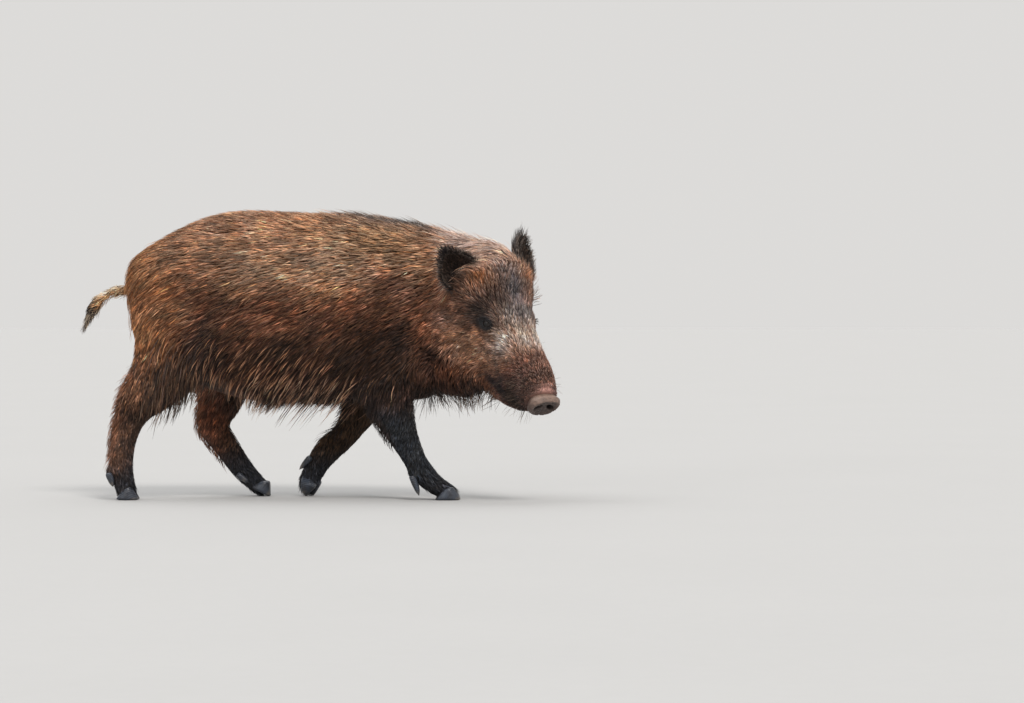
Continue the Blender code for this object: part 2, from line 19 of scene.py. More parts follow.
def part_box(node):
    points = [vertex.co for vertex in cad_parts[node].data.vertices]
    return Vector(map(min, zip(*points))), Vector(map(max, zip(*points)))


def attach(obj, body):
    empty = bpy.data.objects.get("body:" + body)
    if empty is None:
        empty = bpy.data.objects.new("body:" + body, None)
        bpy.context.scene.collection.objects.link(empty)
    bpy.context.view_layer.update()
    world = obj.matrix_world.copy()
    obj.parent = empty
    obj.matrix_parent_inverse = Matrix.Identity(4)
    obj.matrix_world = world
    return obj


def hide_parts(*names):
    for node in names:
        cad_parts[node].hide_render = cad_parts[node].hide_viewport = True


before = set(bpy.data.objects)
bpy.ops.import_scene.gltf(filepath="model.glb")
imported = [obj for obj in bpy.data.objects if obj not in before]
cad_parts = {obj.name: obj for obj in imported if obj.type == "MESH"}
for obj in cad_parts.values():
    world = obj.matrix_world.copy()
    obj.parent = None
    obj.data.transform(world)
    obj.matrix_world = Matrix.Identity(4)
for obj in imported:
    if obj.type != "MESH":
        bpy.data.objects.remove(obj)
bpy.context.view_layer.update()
rng = np.random.default_rng(17)
TUFT_SHARE = 1.0        # of the coat's tufts, to look at a draft sooner

# %% [markdown]
# ## The head's own axes
#
# A face is symmetric, but this head is turned and nods, so its features are placed in axes of its own:
# forward to the snout, left, and up through the forehead. The origin lies between the eyes, and comes from
# the frame.

# %% Axes of the head
LEFT, RIGHT = 1, -1
SIDES = ((LEFT, "left"), (RIGHT, "right"))
HEAD_TURN = math.radians(-52)
HEAD_NOD = math.radians(51)
EYES_MIDDLE = Vector((0.004, 0, 0.001))         # the point between the eyes, from the head's origin
DISC_IN_HEAD = Vector((0.2015, 0.0, -0.015))    # middle of the snout disc's face


def middle(node):
    low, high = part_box(node)
    return (low + high) / 2


HEAD_AXES = Matrix.Rotation(HEAD_TURN, 3, "Z") @ Matrix.Rotation(HEAD_NOD, 3, "Y")
eyes = {side: middle(f"eye_{word}") for side, word in SIDES}
eye_at = {side: np.array(eye) for side, eye in eyes.items()}
eye_radius = (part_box("eye_left")[1].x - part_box("eye_left")[0].x) / 2
HEAD = Matrix.Translation((eyes[LEFT] + eyes[RIGHT]) / 2 - HEAD_AXES @ EYES_MIDDLE) @ HEAD_AXES.to_4x4()
head_axes = np.array(HEAD_AXES)
head_at = np.array(HEAD.translation)


def to_head(points):
    """Points of the model as points in the head's axes."""
    return (points - head_at) @ head_axes


def from_head(point):
    return (np.array([point]) @ head_axes.T + head_at)[0]


print("head at", np.round(head_at, 3), "with eyes", round(eye_radius * 2000, 1), "mm across")

# %% [markdown]
# ## Soft brushes and noise
#
# The depth, length, lie and colour of a coat change smoothly over the animal. Each is painted here as a
# number at every point of the skin: a value, then a brush stroke over it, then the next. A painted picture
# wrapped round the boar would do it too, but strokes in metres stay right on every side and can be read.

# %% Brushes and noise
def blob(points, centre, radii):
    """A brush stroke: 1 at the centre, and soft at the edges."""
    offset = (points - np.array(centre)) / np.array(radii)
    return np.exp(-np.sum(offset ** 2, axis=1))


def ramp(values, start, end):
    """0 before start, 1 after end, and smooth between them."""
    t = np.clip((values - start) / (end - start), 0, 1)
    return t * t * (3 - 2 * t)


def bell(values, centre, width):
    """1 at the centre, fading on both sides of it."""
    return np.exp(-((values - centre) / width) ** 2)


def paint(field, value, mask):
    """The field with a value laid over it where the mask is 1."""
    mask = mask[:, None] if field.ndim == 2 else mask
    return field + (np.asarray(value) - field) * mask


def lay(fields, mask, **values):
    """Paints several fields at once where the mask is 1."""
    for name, value in values.items():
        fields[name] = paint(fields[name], value, mask)


def lattice(cells, seed):
    """A repeatable random number from -1 to 1 for each whole-number cell."""
    mixed = (cells[:, 0] * 73856093) ^ (cells[:, 1] * 19349663) ^ (cells[:, 2] * 83492791)
    mixed ^= seed * 2654435761
    mixed = (mixed ^ (mixed >> 13)) * 1274126177 & 0x7FFFFFFF
    return ((mixed ^ (mixed >> 16)) & 0xFFFF) / 32767.5 - 1


def noise(points, size, seed=0):
    """Smooth noise from -1 to 1. The size of its features, in metres, is one number or one for each axis."""
    scaled = points / np.asarray(size)
    cell = np.floor(scaled).astype(np.int64)
    t = scaled - cell
    t = t * t * (3 - 2 * t)
    total = np.zeros(len(points))
    for corner in range(8):
        step = np.array([corner & 1, corner >> 1 & 1, corner >> 2 & 1])
        total += np.prod(np.where(step == 1, t, 1 - t), axis=1) * lattice(cell + step, seed)
    return total


def colour(red, green, blue):
    """A colour as it is seen, from 0 to 255, as light."""
    seen = np.array([red, green, blue]) / 255
    return np.where(seen < 0.04045, seen / 12.92, ((seen + 0.055) / 1.055) ** 2.4)


def layered(count, ground, *layers):
    """Colours for this many points: a ground, and over it each layer's colour where its mask is 1."""
    shown = np.tile(colour(*ground), (count, 1))
    for tint, mask in layers:
        shown = paint(shown, colour(*tint), mask)
    return shown


def unit(vectors):
    return vectors / np.maximum(np.linalg.norm(vectors, axis=-1, keepdims=True), 1e-9)


print("noise runs from", round(float(noise(rng.random((999, 3)), 0.1).min()), 2))

# %% [markdown]
# ## The form of the flesh
#
# On the animal one hide runs from snout to hooves. The frame has it in named parts with thin cuts between
# them. The parts could be sewn together edge by edge, but a voxel remesh of all of them, slightly swollen
# so that the cuts close, gives one even mesh at once, and smoothing takes off the facets.

# %% One body from the parts of flesh
FLESH = ("head", "neck", "trunk", "tail", "leg_fore_left", "leg_fore_right", "leg_hind_left",
         "leg_hind_right")
CLOSE_CUTS = 0.0005       # how far each part is swollen
SKIN_GRID = 0.0047
# Loose skin that fills the folds behind the jaw, where head and neck meet.
BEHIND_JAW = (((0.244, 0.052, 0.318), (0.058, 0.050, 0.044)), ((0.232, -0.006, 0.266), (0.062, 0.040, 0.048)))
LID_RADIUS = 0.0145       # of the mound that the lids make over each eye


def new_piece(name, mesh):
    piece = bpy.data.objects.new(name, mesh)
    bpy.context.scene.collection.objects.link(piece)
    return piece


def body_of(mesh):
    body = bmesh.new()
    body.from_mesh(mesh)
    return body


def mesh_of(body, name="form"):
    mesh = bpy.data.meshes.new(name)
    body.to_mesh(mesh)
    body.free()
    return mesh


def welded(node):
    """A part of the frame with its doubled points made one."""
    body = body_of(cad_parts[node].data)
    bmesh.ops.remove_doubles(body, verts=body.verts, dist=1e-5)
    return body


def rebuilt(mesh, grid, smoothings):
    """The mesh made anew on an even grid and smoothed, as a body that can be edited."""
    piece = new_piece("rough", mesh)
    even = piece.modifiers.new("even", "REMESH")
    even.mode = "VOXEL"
    even.voxel_size = grid
    piece.modifiers.new("soft", "SMOOTH").iterations = smoothings
    graph = bpy.context.evaluated_depsgraph_get()
    graph.update()
    body = body_of(bpy.data.meshes.new_from_object(piece.evaluated_get(graph)))
    bpy.data.objects.remove(piece)
    return body


joined = bmesh.new()
for name in FLESH:
    part_body = welded(name)
    part_body.normal_update()
    for vert in part_body.verts:
        vert.co += vert.normal * CLOSE_CUTS
    joined.from_mesh(mesh_of(part_body))
mounds = [(LID_RADIUS, Matrix.Translation(eye) @ HEAD_AXES.to_4x4()) for eye in eyes.values()]
mounds += [(1, Matrix.Translation(centre) @ Matrix.Diagonal((*radii, 1))) for centre, radii in BEHIND_JAW]
for radius, place in mounds:
    bmesh.ops.create_icosphere(joined, subdivisions=3, radius=radius, matrix=place)
hide = rebuilt(mesh_of(joined), SKIN_GRID, 6)
print("the form has", len(hide.verts), "points")

# %% [markdown]
# ## Finer mesh where the face is modelled
#
# Lids are about a millimetre thick, far less than the grid. Only the faces near the eyes and on the snout
# are divided again, which costs little and leaves the rest of the skin light.

# %% Divide the skin near the eyes and the snout
snout_tip = HEAD @ Vector((0.175, 0, -0.02))
for near_eye, near_snout in ((0.034, 0.060), (0.023, 0), (0.018, 0)):
    places = [(eye, near_eye) for eye in eyes.values()] + [(snout_tip, near_snout)]
    edges = [edge for edge in hide.edges
             if any(((edge.verts[0].co + edge.verts[1].co) / 2 - at).length < reach for at, reach in places)]
    bmesh.ops.subdivide_edges(hide, edges=edges, cuts=1, use_grid_fill=True)
bmesh.ops.triangulate(hide, faces=hide.faces)
hide = mesh_of(hide)
print("divided, it has", len(hide.vertices), "points and", len(hide.polygons), "faces")

# %% [markdown]
# ## Which part each point of the skin belongs to
#
# Every point takes the name of the nearest part of the frame, as a weight of 1. Averaging the weights over
# the neighbours a few times lets one part of the coat fade into the next, as it does on the animal.

# %% Weights of the parts
def numbers(collection, name, width):
    kind = np.int32 if name in ("vertex_index", "vertices") else np.float32
    values = np.empty(len(collection) * width, kind)
    collection.foreach_get(name, values)
    return values.reshape(-1, width) if width > 1 else values


class Skin:
    """The skin as arrays: points, triangles, edges, normals."""

    def __init__(self, mesh):
        self.points = numbers(mesh.vertices, "co", 3).astype(float)
        self.triangles = numbers(mesh.loops, "vertex_index", 1).reshape(-1, 3)
        self.edges = numbers(mesh.edges, "vertices", 2)
        self.degree = np.bincount(self.edges.ravel(), minlength=len(self.points)).astype(float)
        self.update()

    def update(self):
        corner = self.points[self.triangles]
        across = np.cross(corner[:, 1] - corner[:, 0], corner[:, 2] - corner[:, 0])
        self.areas = np.linalg.norm(across, axis=1) / 2
        total = np.zeros_like(self.points)
        for k in range(3):
            for axis in range(3):
                total[:, axis] += np.bincount(self.triangles[:, k], across[:, axis], len(self.points))
        self.normals = unit(total)

    def smooth(self, field, times, share=0.5):
        """The field averaged with its neighbours on the skin."""
        columns = field.reshape(len(field), -1).copy()
        one, two = self.edges.T
        for _ in range(times):
            for k in range(columns.shape[1]):
                near = sum(np.bincount(a, columns[b, k], len(columns)) for a, b in ((one, two), (two, one)))
                columns[:, k] += share * (near / self.degree - columns[:, k])
        return columns.reshape(field.shape)

    def grow_ready(self, flow):
        """Keeps the lie of the hair and a search tree, which the tufts follow."""
        self.flow = flow
        self.tree = BVHTree.FromPolygons(self.points.tolist(), self.triangles.tolist())


skin = Skin(hide)
distances = []
for name in FLESH:
    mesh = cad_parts[name].data
    tree = BVHTree.FromPolygons([vert.co for vert in mesh.vertices],
                                [face.vertices for face in mesh.polygons])
    distances.append([tree.find_nearest(point)[3] for point in skin.points])
owner = np.argmin(distances, axis=0)
part = {name: skin.smooth((owner == index).astype(float), 14) for index, name in enumerate(FLESH)}
leg = sum(part[name] for name in FLESH if name.startswith("leg"))
fore_leg, hind_leg = (part[f"leg_{end}_left"] + part[f"leg_{end}_right"] for end in ("fore", "hind"))
torso = part["trunk"] + part["neck"]
print("the skin covers", round(float(skin.areas.sum()), 3), "square metres")

# %% [markdown]
# ## How deep the coat is
#
# The solids end at the tips of the hair, so the skin lies inside them by the coat's depth: two or three
# millimetres on the lower legs and the snout, a centimetre on the back, and over two on the belly, under
# the jaw and on the poll, where the bristles hang or stand. A single depth would give a boar either thick
# ankles or no mane.

# %% Sink the skin by the coat's depth
BACK_TOP, BELLY = 0.577, 0.190      # heights of the top and of the underside
FEET = ("fore_right", "fore_left", "hind_right", "hind_left")


def faced(direction, start, end):
    """1 where the skin faces this way."""
    return ramp(skin.normals @ np.array(direction), start, end)


def claws_of(foot, kinds=("claw", "dewclaw")):
    return [f"{kind}_{hand}_{foot}" for kind in kinds for hand in ("left", "right")]


face = to_head(skin.points)
ahead, aside, above = face.T
sideways = np.abs(aside)
head = part["head"]
poll = head * ramp(ahead, -0.045, -0.095) * ramp(above, 0.0, 0.045)
under_jaw = head * ramp(-above, 0.070, 0.120) * ramp(-ahead, -0.135, -0.09)
muzzle = head * ramp(ahead, 0.065, 0.120)
throat = part["neck"] * ramp(-skin.points[:, 2], -0.30, -0.24)
underside = part["trunk"] * ramp(-skin.points[:, 2], -0.285, -0.215)
shank = leg * ramp(-skin.points[:, 2], -0.215, -0.130)

claw_points = np.vstack([numbers(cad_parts[name].data.vertices, "co", 3)
                         for foot in FEET for name in claws_of(foot, ("claw",))])
low = np.flatnonzero((leg > 0.5) & (skin.points[:, 2] < 0.14))
hoof_gap = np.full(len(skin.points), 1.0)                    # from each point to the nearest claw
hoof_gap[low] = [np.linalg.norm(claw_points - point, axis=1).min() for point in skin.points[low]]

depth = np.full(len(skin.points), 0.0115)
for value, mask in (
    (0.0085, part["trunk"] * ramp(-skin.points[:, 0], 0.25, 0.36)),
    (0.0230, np.maximum(underside, throat)),
    (0.0080, leg * (1 - underside)),
    (0.0024, shank),
    (0.0006, ramp(-hoof_gap, -0.020, -0.007)),
    (0.0044, part["tail"]),
    (0.0060, head),
    (0.0100, head * blob(face, (-0.06, 0, -0.08), (0.05, 0.2, 0.05))),
    (0.0185, poll),
    (0.0036, head * ramp(ahead, 0.015, 0.060) * (1 - under_jaw)),
    (0.0022, muzzle * (1 - under_jaw)),
    (0.0250, under_jaw),
    (0.0040, head * ramp(ahead, 0.125, 0.150)),
    (0.0016, head * ramp(ahead, 0.160, 0.185)),
):
    depth = paint(depth, value, mask)
depth = skin.smooth(depth, 8)
for eye in eye_at.values():
    depth = paint(depth, 0.0014, 1 - ramp(np.linalg.norm(skin.points - eye, axis=1), 0.015, 0.030))
skin.points -= skin.normals * depth[:, None]
skin.points += (skin.smooth(skin.points, 3) - skin.points) * ramp(depth, 0.006, 0.012)[:, None]
skin.update()
corners = skin.points[skin.triangles]
litres = np.einsum("ij,ij->i", corners[:, 0], np.cross(corners[:, 1], corners[:, 2])).sum() / 6 * 1000
print("coat", round(depth.min() * 1000, 1), "to", round(depth.max() * 1000, 1), "mm deep; body of",
      round(litres, 1), "litres")

# %% [markdown]
# ## Lids, lips and snout folds
#
# A boar's eye is small and looks out of a slit that slopes down to the snout, under a heavy upper lid. The
# skin over the eyeball is a mound already. Inside the slit it is pushed behind the eyeball's surface, which
# leaves a rim as thick as a lid, and creases run round it. The lips meet in a long groove, and the skin
# behind the disc lies in small folds, because the disc is what the animal digs with.

# %% Model the face
SLIT_HALF_LENGTH = 0.0110
SLIT_HALF_HEIGHT = 0.0070
SLIT_SLOPE = math.radians(23)       # of the slit, from the head's own forward axis
EYE_LOOKS = Vector((0.34, 0.93, 0.12)).normalized()


def slit_axes(side):
    """Along the slit to its front corner, across it, and the way the eye looks."""
    look = Vector((EYE_LOOKS.x, side * EYE_LOOKS.y, EYE_LOOKS.z))
    along = Vector((math.cos(SLIT_SLOPE), 0, math.sin(SLIT_SLOPE)))
    along = (along - look * along.dot(look)).normalized()
    across = look.cross(along)
    if across.z < 0:
        across = -across
    return [np.array(HEAD_AXES @ axis) for axis in (along, across, look)]


def slit_place(side):
    """How many times the slit's own size each point is from its middle, and its height over the slit."""
    along, across, look = slit_axes(side)
    offset = skin.points - eye_at[side]
    wide = np.abs(offset @ along) / SLIT_HALF_LENGTH
    high = np.abs(offset @ across) / SLIT_HALF_HEIGHT
    ring = (wide ** 1.75 + high ** 1.85) ** (1 / 1.8)
    return np.where(offset @ look > 0, ring, 9.0), offset @ across


for side, eye in eye_at.items():
    ring, over = slit_place(side)
    offset = skin.points - eye
    far = np.linalg.norm(offset, axis=1)
    lid = eye_radius + 0.0013 + 0.0005 * bell(ring, 1.12, 0.10)
    lid += (far - lid) * ramp(ring, 1.25, 1.75)
    lid -= 0.0013 * bell(ring, 1.50, 0.09) * ramp(over, 0.002, 0.006)
    lid -= 0.0008 * bell(ring, 1.62, 0.10) * ramp(-over, 0.002, 0.006)
    reach = lid + (eye_radius - 0.0020 - lid) * (1 - ramp(ring, 0.90, 1.03))
    close = (ring < 2.2) & (far < 0.030)
    skin.points[close] = eye + (unit(offset) * reach[:, None])[close]

face = to_head(skin.points)
ahead, aside, above = face.T
mouth = -0.045 - (0.190 - ahead) * 0.27
along_mouth = head * ramp(ahead, 0.045, 0.075) * (np.abs(aside) > 0.006)
lips = bell(above, mouth, 0.0028) * along_mouth * ramp(-above, 0.020, 0.040)
plump = bell(above, mouth, 0.0095) * along_mouth
behind_disc = head * ramp(ahead, 0.118, 0.150) * ramp(above, -0.045, -0.020)
folds = np.sin(2 * math.pi * ahead / 0.0105 + 1.6 * noise(face, 0.02, 5)) * behind_disc
brow_fold = head * blob(np.column_stack([ahead, sideways, above]), (0.020, 0.038, 0.030),
                        (0.022, 0.02, 0.008))
skin.update()
skin.points += skin.normals * (0.0012 * plump - 0.0036 * lips + 0.0009 * folds - 0.0018 * brow_fold)[:, None]
skin.update()
print("lips", int((lips > 0.5).sum()), "points; folds", int((np.abs(folds) > 0.5).sum()))

# %% [markdown]
# ## The lie of the coat
#
# Hair grows backwards from the snout, up over the forehead, back along the neck and trunk, ever steeper
# down the flanks, and down the legs. The direction is painted in the same way as the depth, laid flat on
# the skin and averaged, so that there are no partings where two strokes meet.

# %% Paint the direction, length and lift of the hair
def fields_of(surface, **values):
    """A dictionary of fields, each with one value at every point of the surface."""
    count = len(surface.points)
    values = {name: np.asarray(value, float) for name, value in values.items()}
    return {name: np.tile(value, (count, 1) if value.ndim else count) for name, value in values.items()}


def flat(directions, normals):
    """Directions laid flat on the surface."""
    return unit(directions - normals * np.sum(directions * normals, axis=1)[:, None])


def both_sides(points):
    """Points with the left half laid over the right."""
    return np.column_stack([points[:, 0], np.abs(points[:, 1]), points[:, 2]])


x, y, z = skin.points.T
upness = np.clip((z - BELLY) / (BACK_TOP - BELLY), 0, 1)     # 0 at the belly, 1 at the back
slope = np.radians(3 + 24 * ramp(-upness, -0.86, -0.45) + 26 * ramp(-upness, -0.45, -0.12)
                   + 24 * ramp(-x, 0.24, 0.38) * ramp(-upness, -0.95, -0.6) + 5 * noise(skin.points, 0.07, 3))
flow = np.column_stack([-np.cos(slope), 0.12 * np.sign(y), -np.sin(slope)])
for foot, lean in (("hind_right", -0.30), ("hind_left", -0.45), ("fore_right", -0.28), ("fore_left", -0.30)):
    flow = paint(flow, (lean, 0, -1), part[f"leg_{foot}"])
flow = paint(flow, (-0.90, 0.10, -0.45), part["tail"])
for foot in FEET:
    toes = sum(np.array(middle(claw)) for claw in claws_of(foot, ("claw",))) / 2 - (0, 0, 0.010)
    gap = np.linalg.norm(toes - skin.points, axis=1)
    flow = paint(flow, unit(toes - skin.points), part[f"leg_{foot}"] * ramp(-gap, -0.105, -0.055))

face = to_head(skin.points)
mirrored = both_sides(face)
ahead, aside, above = face.T
side, sideways = np.sign(aside), np.abs(aside)
round_head = np.arctan2(sideways, above + 0.035)             # 0 on top of the head, half a turn under the jaw
sweep = np.radians(76 * ramp(round_head, 0.35, 1.45))
in_face = np.column_stack([-np.cos(sweep), side * 0.6 * np.sin(sweep), -0.8 * np.sin(sweep)])
crown = ramp(-ahead, 0.010, 0.060) * ramp(above, -0.02, 0.03)
in_face = paint(in_face, (-0.85, 0, 0.5), crown)
in_face[:, 1] += crown * side * 0.35 * ramp(sideways, 0.005, 0.05)
flow = paint(flow, unit(in_face) @ head_axes.T, head)
fan = 0.55 - 1.1 * ramp(x, 0.27, 0.36)       # forwards under the throat, backwards under the chin
hanging = np.maximum(throat, under_jaw) * faced((0, 0, -1), 0.0, 0.6)
flow[:, 0] += (fan - flow[:, 0]) * hanging
flow[:, 2] += (-1 - flow[:, 2]) * hanging
flow = skin.smooth(flat(flow, skin.normals), 6)
behind_cheek = np.clip(1.3 * blob(both_sides(skin.points), (0.245, 0.04, 0.300), (0.060, 0.09, 0.060)), 0, 1)
flow = flat(paint(flow, skin.smooth(flow, 70), behind_cheek), skin.normals)

coat = fields_of(skin, length=0.042, width=0.00110, lift=0.07, density=9.5e4, sag=0.0, clump=0.52)
coat.update(flow=flow, depth=depth)
trunk_low = part["trunk"] * ramp(-upness, -0.45, -0.10)
crest = torso * ramp(x, 0.0, 0.10) * ramp(-x, -0.285, -0.215) * ramp(skin.normals[:, 2], 0.74, 0.96)
bare_snout = head * blob(face, (0.182, 0, 0.014), (0.009, 0.020, 0.016))
lay(coat, trunk_low, length=0.048)
lay(coat, crest, length=0.046, lift=0.16)
lay(coat, np.maximum(underside, throat), length=0.042)
lay(coat, underside, sag=0.14)
lay(coat, np.maximum(trunk_low, throat), clump=0.60)
lay(coat, leg * (1 - underside), length=0.028)
lay(coat, shank, length=0.0160, lift=0.13, width=0.00080, density=1.9e5)
lay(coat, faced((0, 0, -1), 0.5, 0.9) * underside, density=0.5e5)
lay(coat, part["tail"], length=0.0235, lift=0.27, width=0.0007, density=2.2e5)
lay(coat, head, length=0.0200, width=0.00064, density=2.5e5, clump=0.45)
lay(coat, head * crown, lift=0.42)
lay(coat, poll, length=0.0290, lift=0.66)
lay(coat, head * ramp(ahead, -0.005, 0.050), length=0.0130)
lay(coat, head * ramp(ahead, 0.000, 0.040) * ramp(-round_head, -1.2, -0.4), lift=0.20)
lay(coat, muzzle, length=0.0110, lift=0.16, width=0.00060, density=3.0e5)
lay(coat, head * ramp(ahead, 0.150, 0.182), length=0.0045)
lay(coat, under_jaw, length=0.0300, width=0.00080, density=1.3e5)
lay(coat, head * ramp(ahead, 0.181, 0.187), density=0.15e5)
lay(coat, bare_snout, density=1.3e5)
for side in eyes:
    ring, _ = slit_place(side)
    lay(coat, 1 - ramp(ring, 1.3, 2.6), length=0.0045)
    lay(coat, 1 - ramp(ring, 1.3, 2.4), lift=0.15, width=0.00042)
    lay(coat, 1 - ramp(ring, 1.6, 2.4), density=4.0e5)
    coat["density"][ring < 1.16] = 0
coat["density"][z < 0.006] = 0
print("hair", round(coat["length"].min() * 1000, 1), "to", round(coat["length"].max() * 1000, 1), "mm long")

# %% [markdown]
# ## The markings
#
# A yearling's stripes are gone, and its first winter coat is russet: dark underwool, brown bristles with
# tan tips, orange on the rump, a dark crest over the withers, black legs. The face is grizzled, with a pale
# patch across the nose below the eyes and a reddish muzzle. Skin and hair take their colours from the same
# three fields: the colour at the root, along the bristle and at its tip. A few strokes paint light and
# shade as well: painted shade low on the right side, painted light on the neck, the right thigh and behind
# the jaw, a painted shadow at each ear's base, and a painted sheen on the lower legs.

# %% Paint the markings
coat.update(fields_of(skin, mid=colour(118, 74, 54), tip=colour(186, 138, 104), root=colour(44, 31, 27),
                      tipped=0.35))       # tipped is the share of the bristles that have a light tip


def mark(mask, along, ends, base=None, light=None):
    """Lays colours over the coat where the mask is 1: along the bristles, at their ends and at their base."""
    lay(coat, mask, mid=colour(*along), tip=colour(*ends))
    if base:
        lay(coat, mask, root=colour(*base))
    if light:
        lay(coat, mask, tipped=light)


def spot(*place):
    """A brush stroke on the body: three numbers for its centre, three for its radii."""
    return blob(skin.points, place[:3], place[3:])


def face_spot(*place):
    """The same on both sides of the face, in the head's axes."""
    return blob(mirrored, place[:3], place[3:])


trunk_part = np.clip(torso + leg, 0, 1)
drift = noise(skin.points, 0.05, 11)
hind_right, hind_left = part["leg_hind_right"], part["leg_hind_left"]
flank_fold = np.maximum(spot(-0.215, 0, 0.275, 0.035, 0.5, 0.075),
                        0.75 * spot(-0.205, 0, 0.345, 0.024, 0.5, 0.05))
mark(torso * ramp(upness, 0.52, 0.80), (164, 116, 88), (220, 182, 148), light=0.55)
mark(trunk_part * ramp(-x, 0.22, 0.36), (162, 108, 70), (212, 162, 112), light=0.5)
mark(trunk_part * ramp(-upness + 0.10 * drift, -0.50, -0.24) * ramp(x, -0.34, -0.26),
     (58, 41, 32), (140, 104, 78), (20, 15, 14), 0.26)
mark(np.maximum(underside, trunk_part * ramp(-upness, -0.24, -0.10)),
     (40, 28, 24), (170, 132, 100), (14, 11, 11), 0.20)
mark(torso * spot(0.155, 0, 0.30, 0.075, 0.4, 0.07), (50, 34, 26), (104, 76, 58), (16, 12, 11), 0.22)
mark(torso * spot(0.115, 0, 0.505, 0.11, 0.4, 0.045), (150, 112, 82), (206, 172, 134), light=0.65)
mark(torso * spot(0.0, 0, 0.462, 0.17, 0.4, 0.035), (172, 130, 102), (232, 202, 172), light=0.75)
mark(crest, (74, 66, 64), (156, 142, 130), (24, 22, 24), 0.45)
# The neck's russet is painted lighter than the hair's own colour, as painted light against the shade the head
# casts on it.
mark(part["neck"], (164, 114, 90), (212, 170, 142), (66, 47, 40), 0.5)
mark(part["neck"] * ramp(upness, 0.60, 0.80), (174, 136, 110), (224, 194, 168), (46, 34, 30), 0.6)
mark(throat * ramp(-z, -0.262, -0.225), (36, 28, 27), (84, 62, 50), (16, 13, 13), 0.15)
mark(leg * ramp(-z, -0.33, -0.24), (58, 42, 37), (108, 82, 68), (20, 17, 18), 0.25)
mark(hind_leg * ramp(-z, -0.34, -0.26) * ramp(z, 0.07, 0.11) * faced((-1, 0, 0), -0.25, 0.5),
     (116, 74, 54), (164, 116, 86), light=0.45)
mark(hind_right * ramp(-z, -0.30, -0.24) * ramp(z, 0.06, 0.10) * faced((0, -1, 0), 0.1, 0.8),
     (92, 66, 52), (150, 116, 92), light=0.4)
mark(shank, (44, 37, 34), (96, 86, 82), (18, 16, 17), 0.30)
mark(hind_leg * shank * ramp(z, 0.055, 0.100), (66, 50, 42), (124, 96, 78), (26, 20, 19), 0.35)
mark(hind_leg * shank * ramp(z, 0.060, 0.100) * faced((-1, 0, 0), -0.1, 0.6),
     (132, 88, 66), (176, 132, 102), light=0.45)
# Black lower legs; the pale blue-grey of their tips is a painted sheen.
mark(leg * ramp(-z, -0.150, -0.070), (38, 38, 42), (96, 98, 106), (18, 19, 22), 0.30)
# Painted sheen: pale blue-grey tips down the front of the near foreleg, on the side that faces the key lamp.
mark(part["leg_fore_right"] * ramp(z, 0.030, 0.060) * ramp(-z, -0.215, -0.150)
     * faced((0.5, -0.86, 0), 0.2, 0.8),
     
     (44, 45, 48), (104, 108, 116), (19, 19, 21), 0.42)
mark(flank_fold * 0.92, (40, 31, 29), (150, 122, 100), (14, 12, 12), 0.22)
mark(hind_right * spot(-0.412, -0.09, 0.108, 0.034, 0.08, 0.036),
     (162, 116, 90), (200, 158, 128), (60, 44, 36), 0.5)
mark(hind_left * spot(-0.185, 0.08, 0.125, 0.045, 0.08, 0.035), (70, 50, 34), (120, 88, 64))
mark(hind_left * spot(-0.225, 0.08, 0.160, 0.035, 0.08, 0.055) * 0.9, (124, 74, 53), (172, 116, 88))
mark(part["leg_fore_left"] * ramp(z, 0.06, 0.11), (58, 42, 29), (112, 84, 62))
mark(part["tail"], (196, 146, 104), (234, 200, 158), (120, 88, 62), 0.7)
mark(part["tail"] * faced((0, 0, 1), -0.1, 0.5), (224, 192, 154), (246, 226, 196), (140, 108, 82), 0.8)
mark(part["tail"] * ramp(-x, 0.440, 0.452), (64, 54, 50), (214, 196, 170), (30, 26, 26), 0.35)

patchy = noise(skin.points, (0.050, 0.030, 0.028), 61) * ramp(upness, 0.30, 0.50)
mark(torso * np.clip(patchy - 0.25, 0, 0.5), (84, 58, 44), (150, 112, 84), (28, 21, 19))
mark(torso * np.clip(-patchy - 0.25, 0, 0.45), (176, 128, 94), (222, 184, 148))
mark(torso * spot(-0.045, -0.12, 0.475, 0.045, 0.08, 0.026),
     (204, 150, 114), (236, 196, 160), (62, 44, 35), 0.7)
mark(trunk_part * spot(-0.345, -0.09, 0.416, 0.050, 0.09, 0.045), (116, 64, 37), (168, 106, 64))
# Painted light: the right thigh is much lighter than its hair, to brighten the shade that lies on it.
mark(trunk_part * spot(-0.345, -0.11, 0.257, 0.055, 0.09, 0.050),
     (188, 132, 98), (226, 180, 142), (70, 49, 38), 0.55)
mark(torso * spot(-0.185, -0.12, 0.405, 0.050, 0.10, 0.055), (64, 46, 36), (124, 94, 74))
mark(torso * spot(-0.185, -0.12, 0.472, 0.042, 0.10, 0.024) * 0.9, (84, 62, 48), (142, 112, 88))
# Painted shade: darker strokes low on the right flank and shoulder, where the pale floor would otherwise
# light the underside.
mark(torso * spot(-0.045, -0.12, 0.310, 0.085, 0.12, 0.035), (46, 32, 22), (112, 80, 56), (15, 11, 10))
mark(torso * spot(0.100, -0.12, 0.335, 0.050, 0.10, 0.032), (42, 28, 20), (98, 70, 50), (15, 11, 10))
SCAR_TURN = np.array([[0.87, 0, -0.49], [0, 1, 0], [0.49, 0, 0.87]])
old_graze = blob(skin.points @ SCAR_TURN.T, SCAR_TURN @ np.array([0.142, -0.11, 0.450]), (0.046, 0.08, 0.016))
mark(old_graze * 0.85, (146, 74, 66), (192, 116, 102), (90, 38, 34), 0.45)
bare_spot = spot(-0.183, -0.13, 0.416, 0.010, 0.05, 0.017)
mark(bare_spot, (98, 96, 94), (128, 126, 122), (84, 84, 84), 0.3)
coat["density"] *= 1 - 0.6 * bare_spot
coat["length"] *= 1 - 0.4 * bare_spot

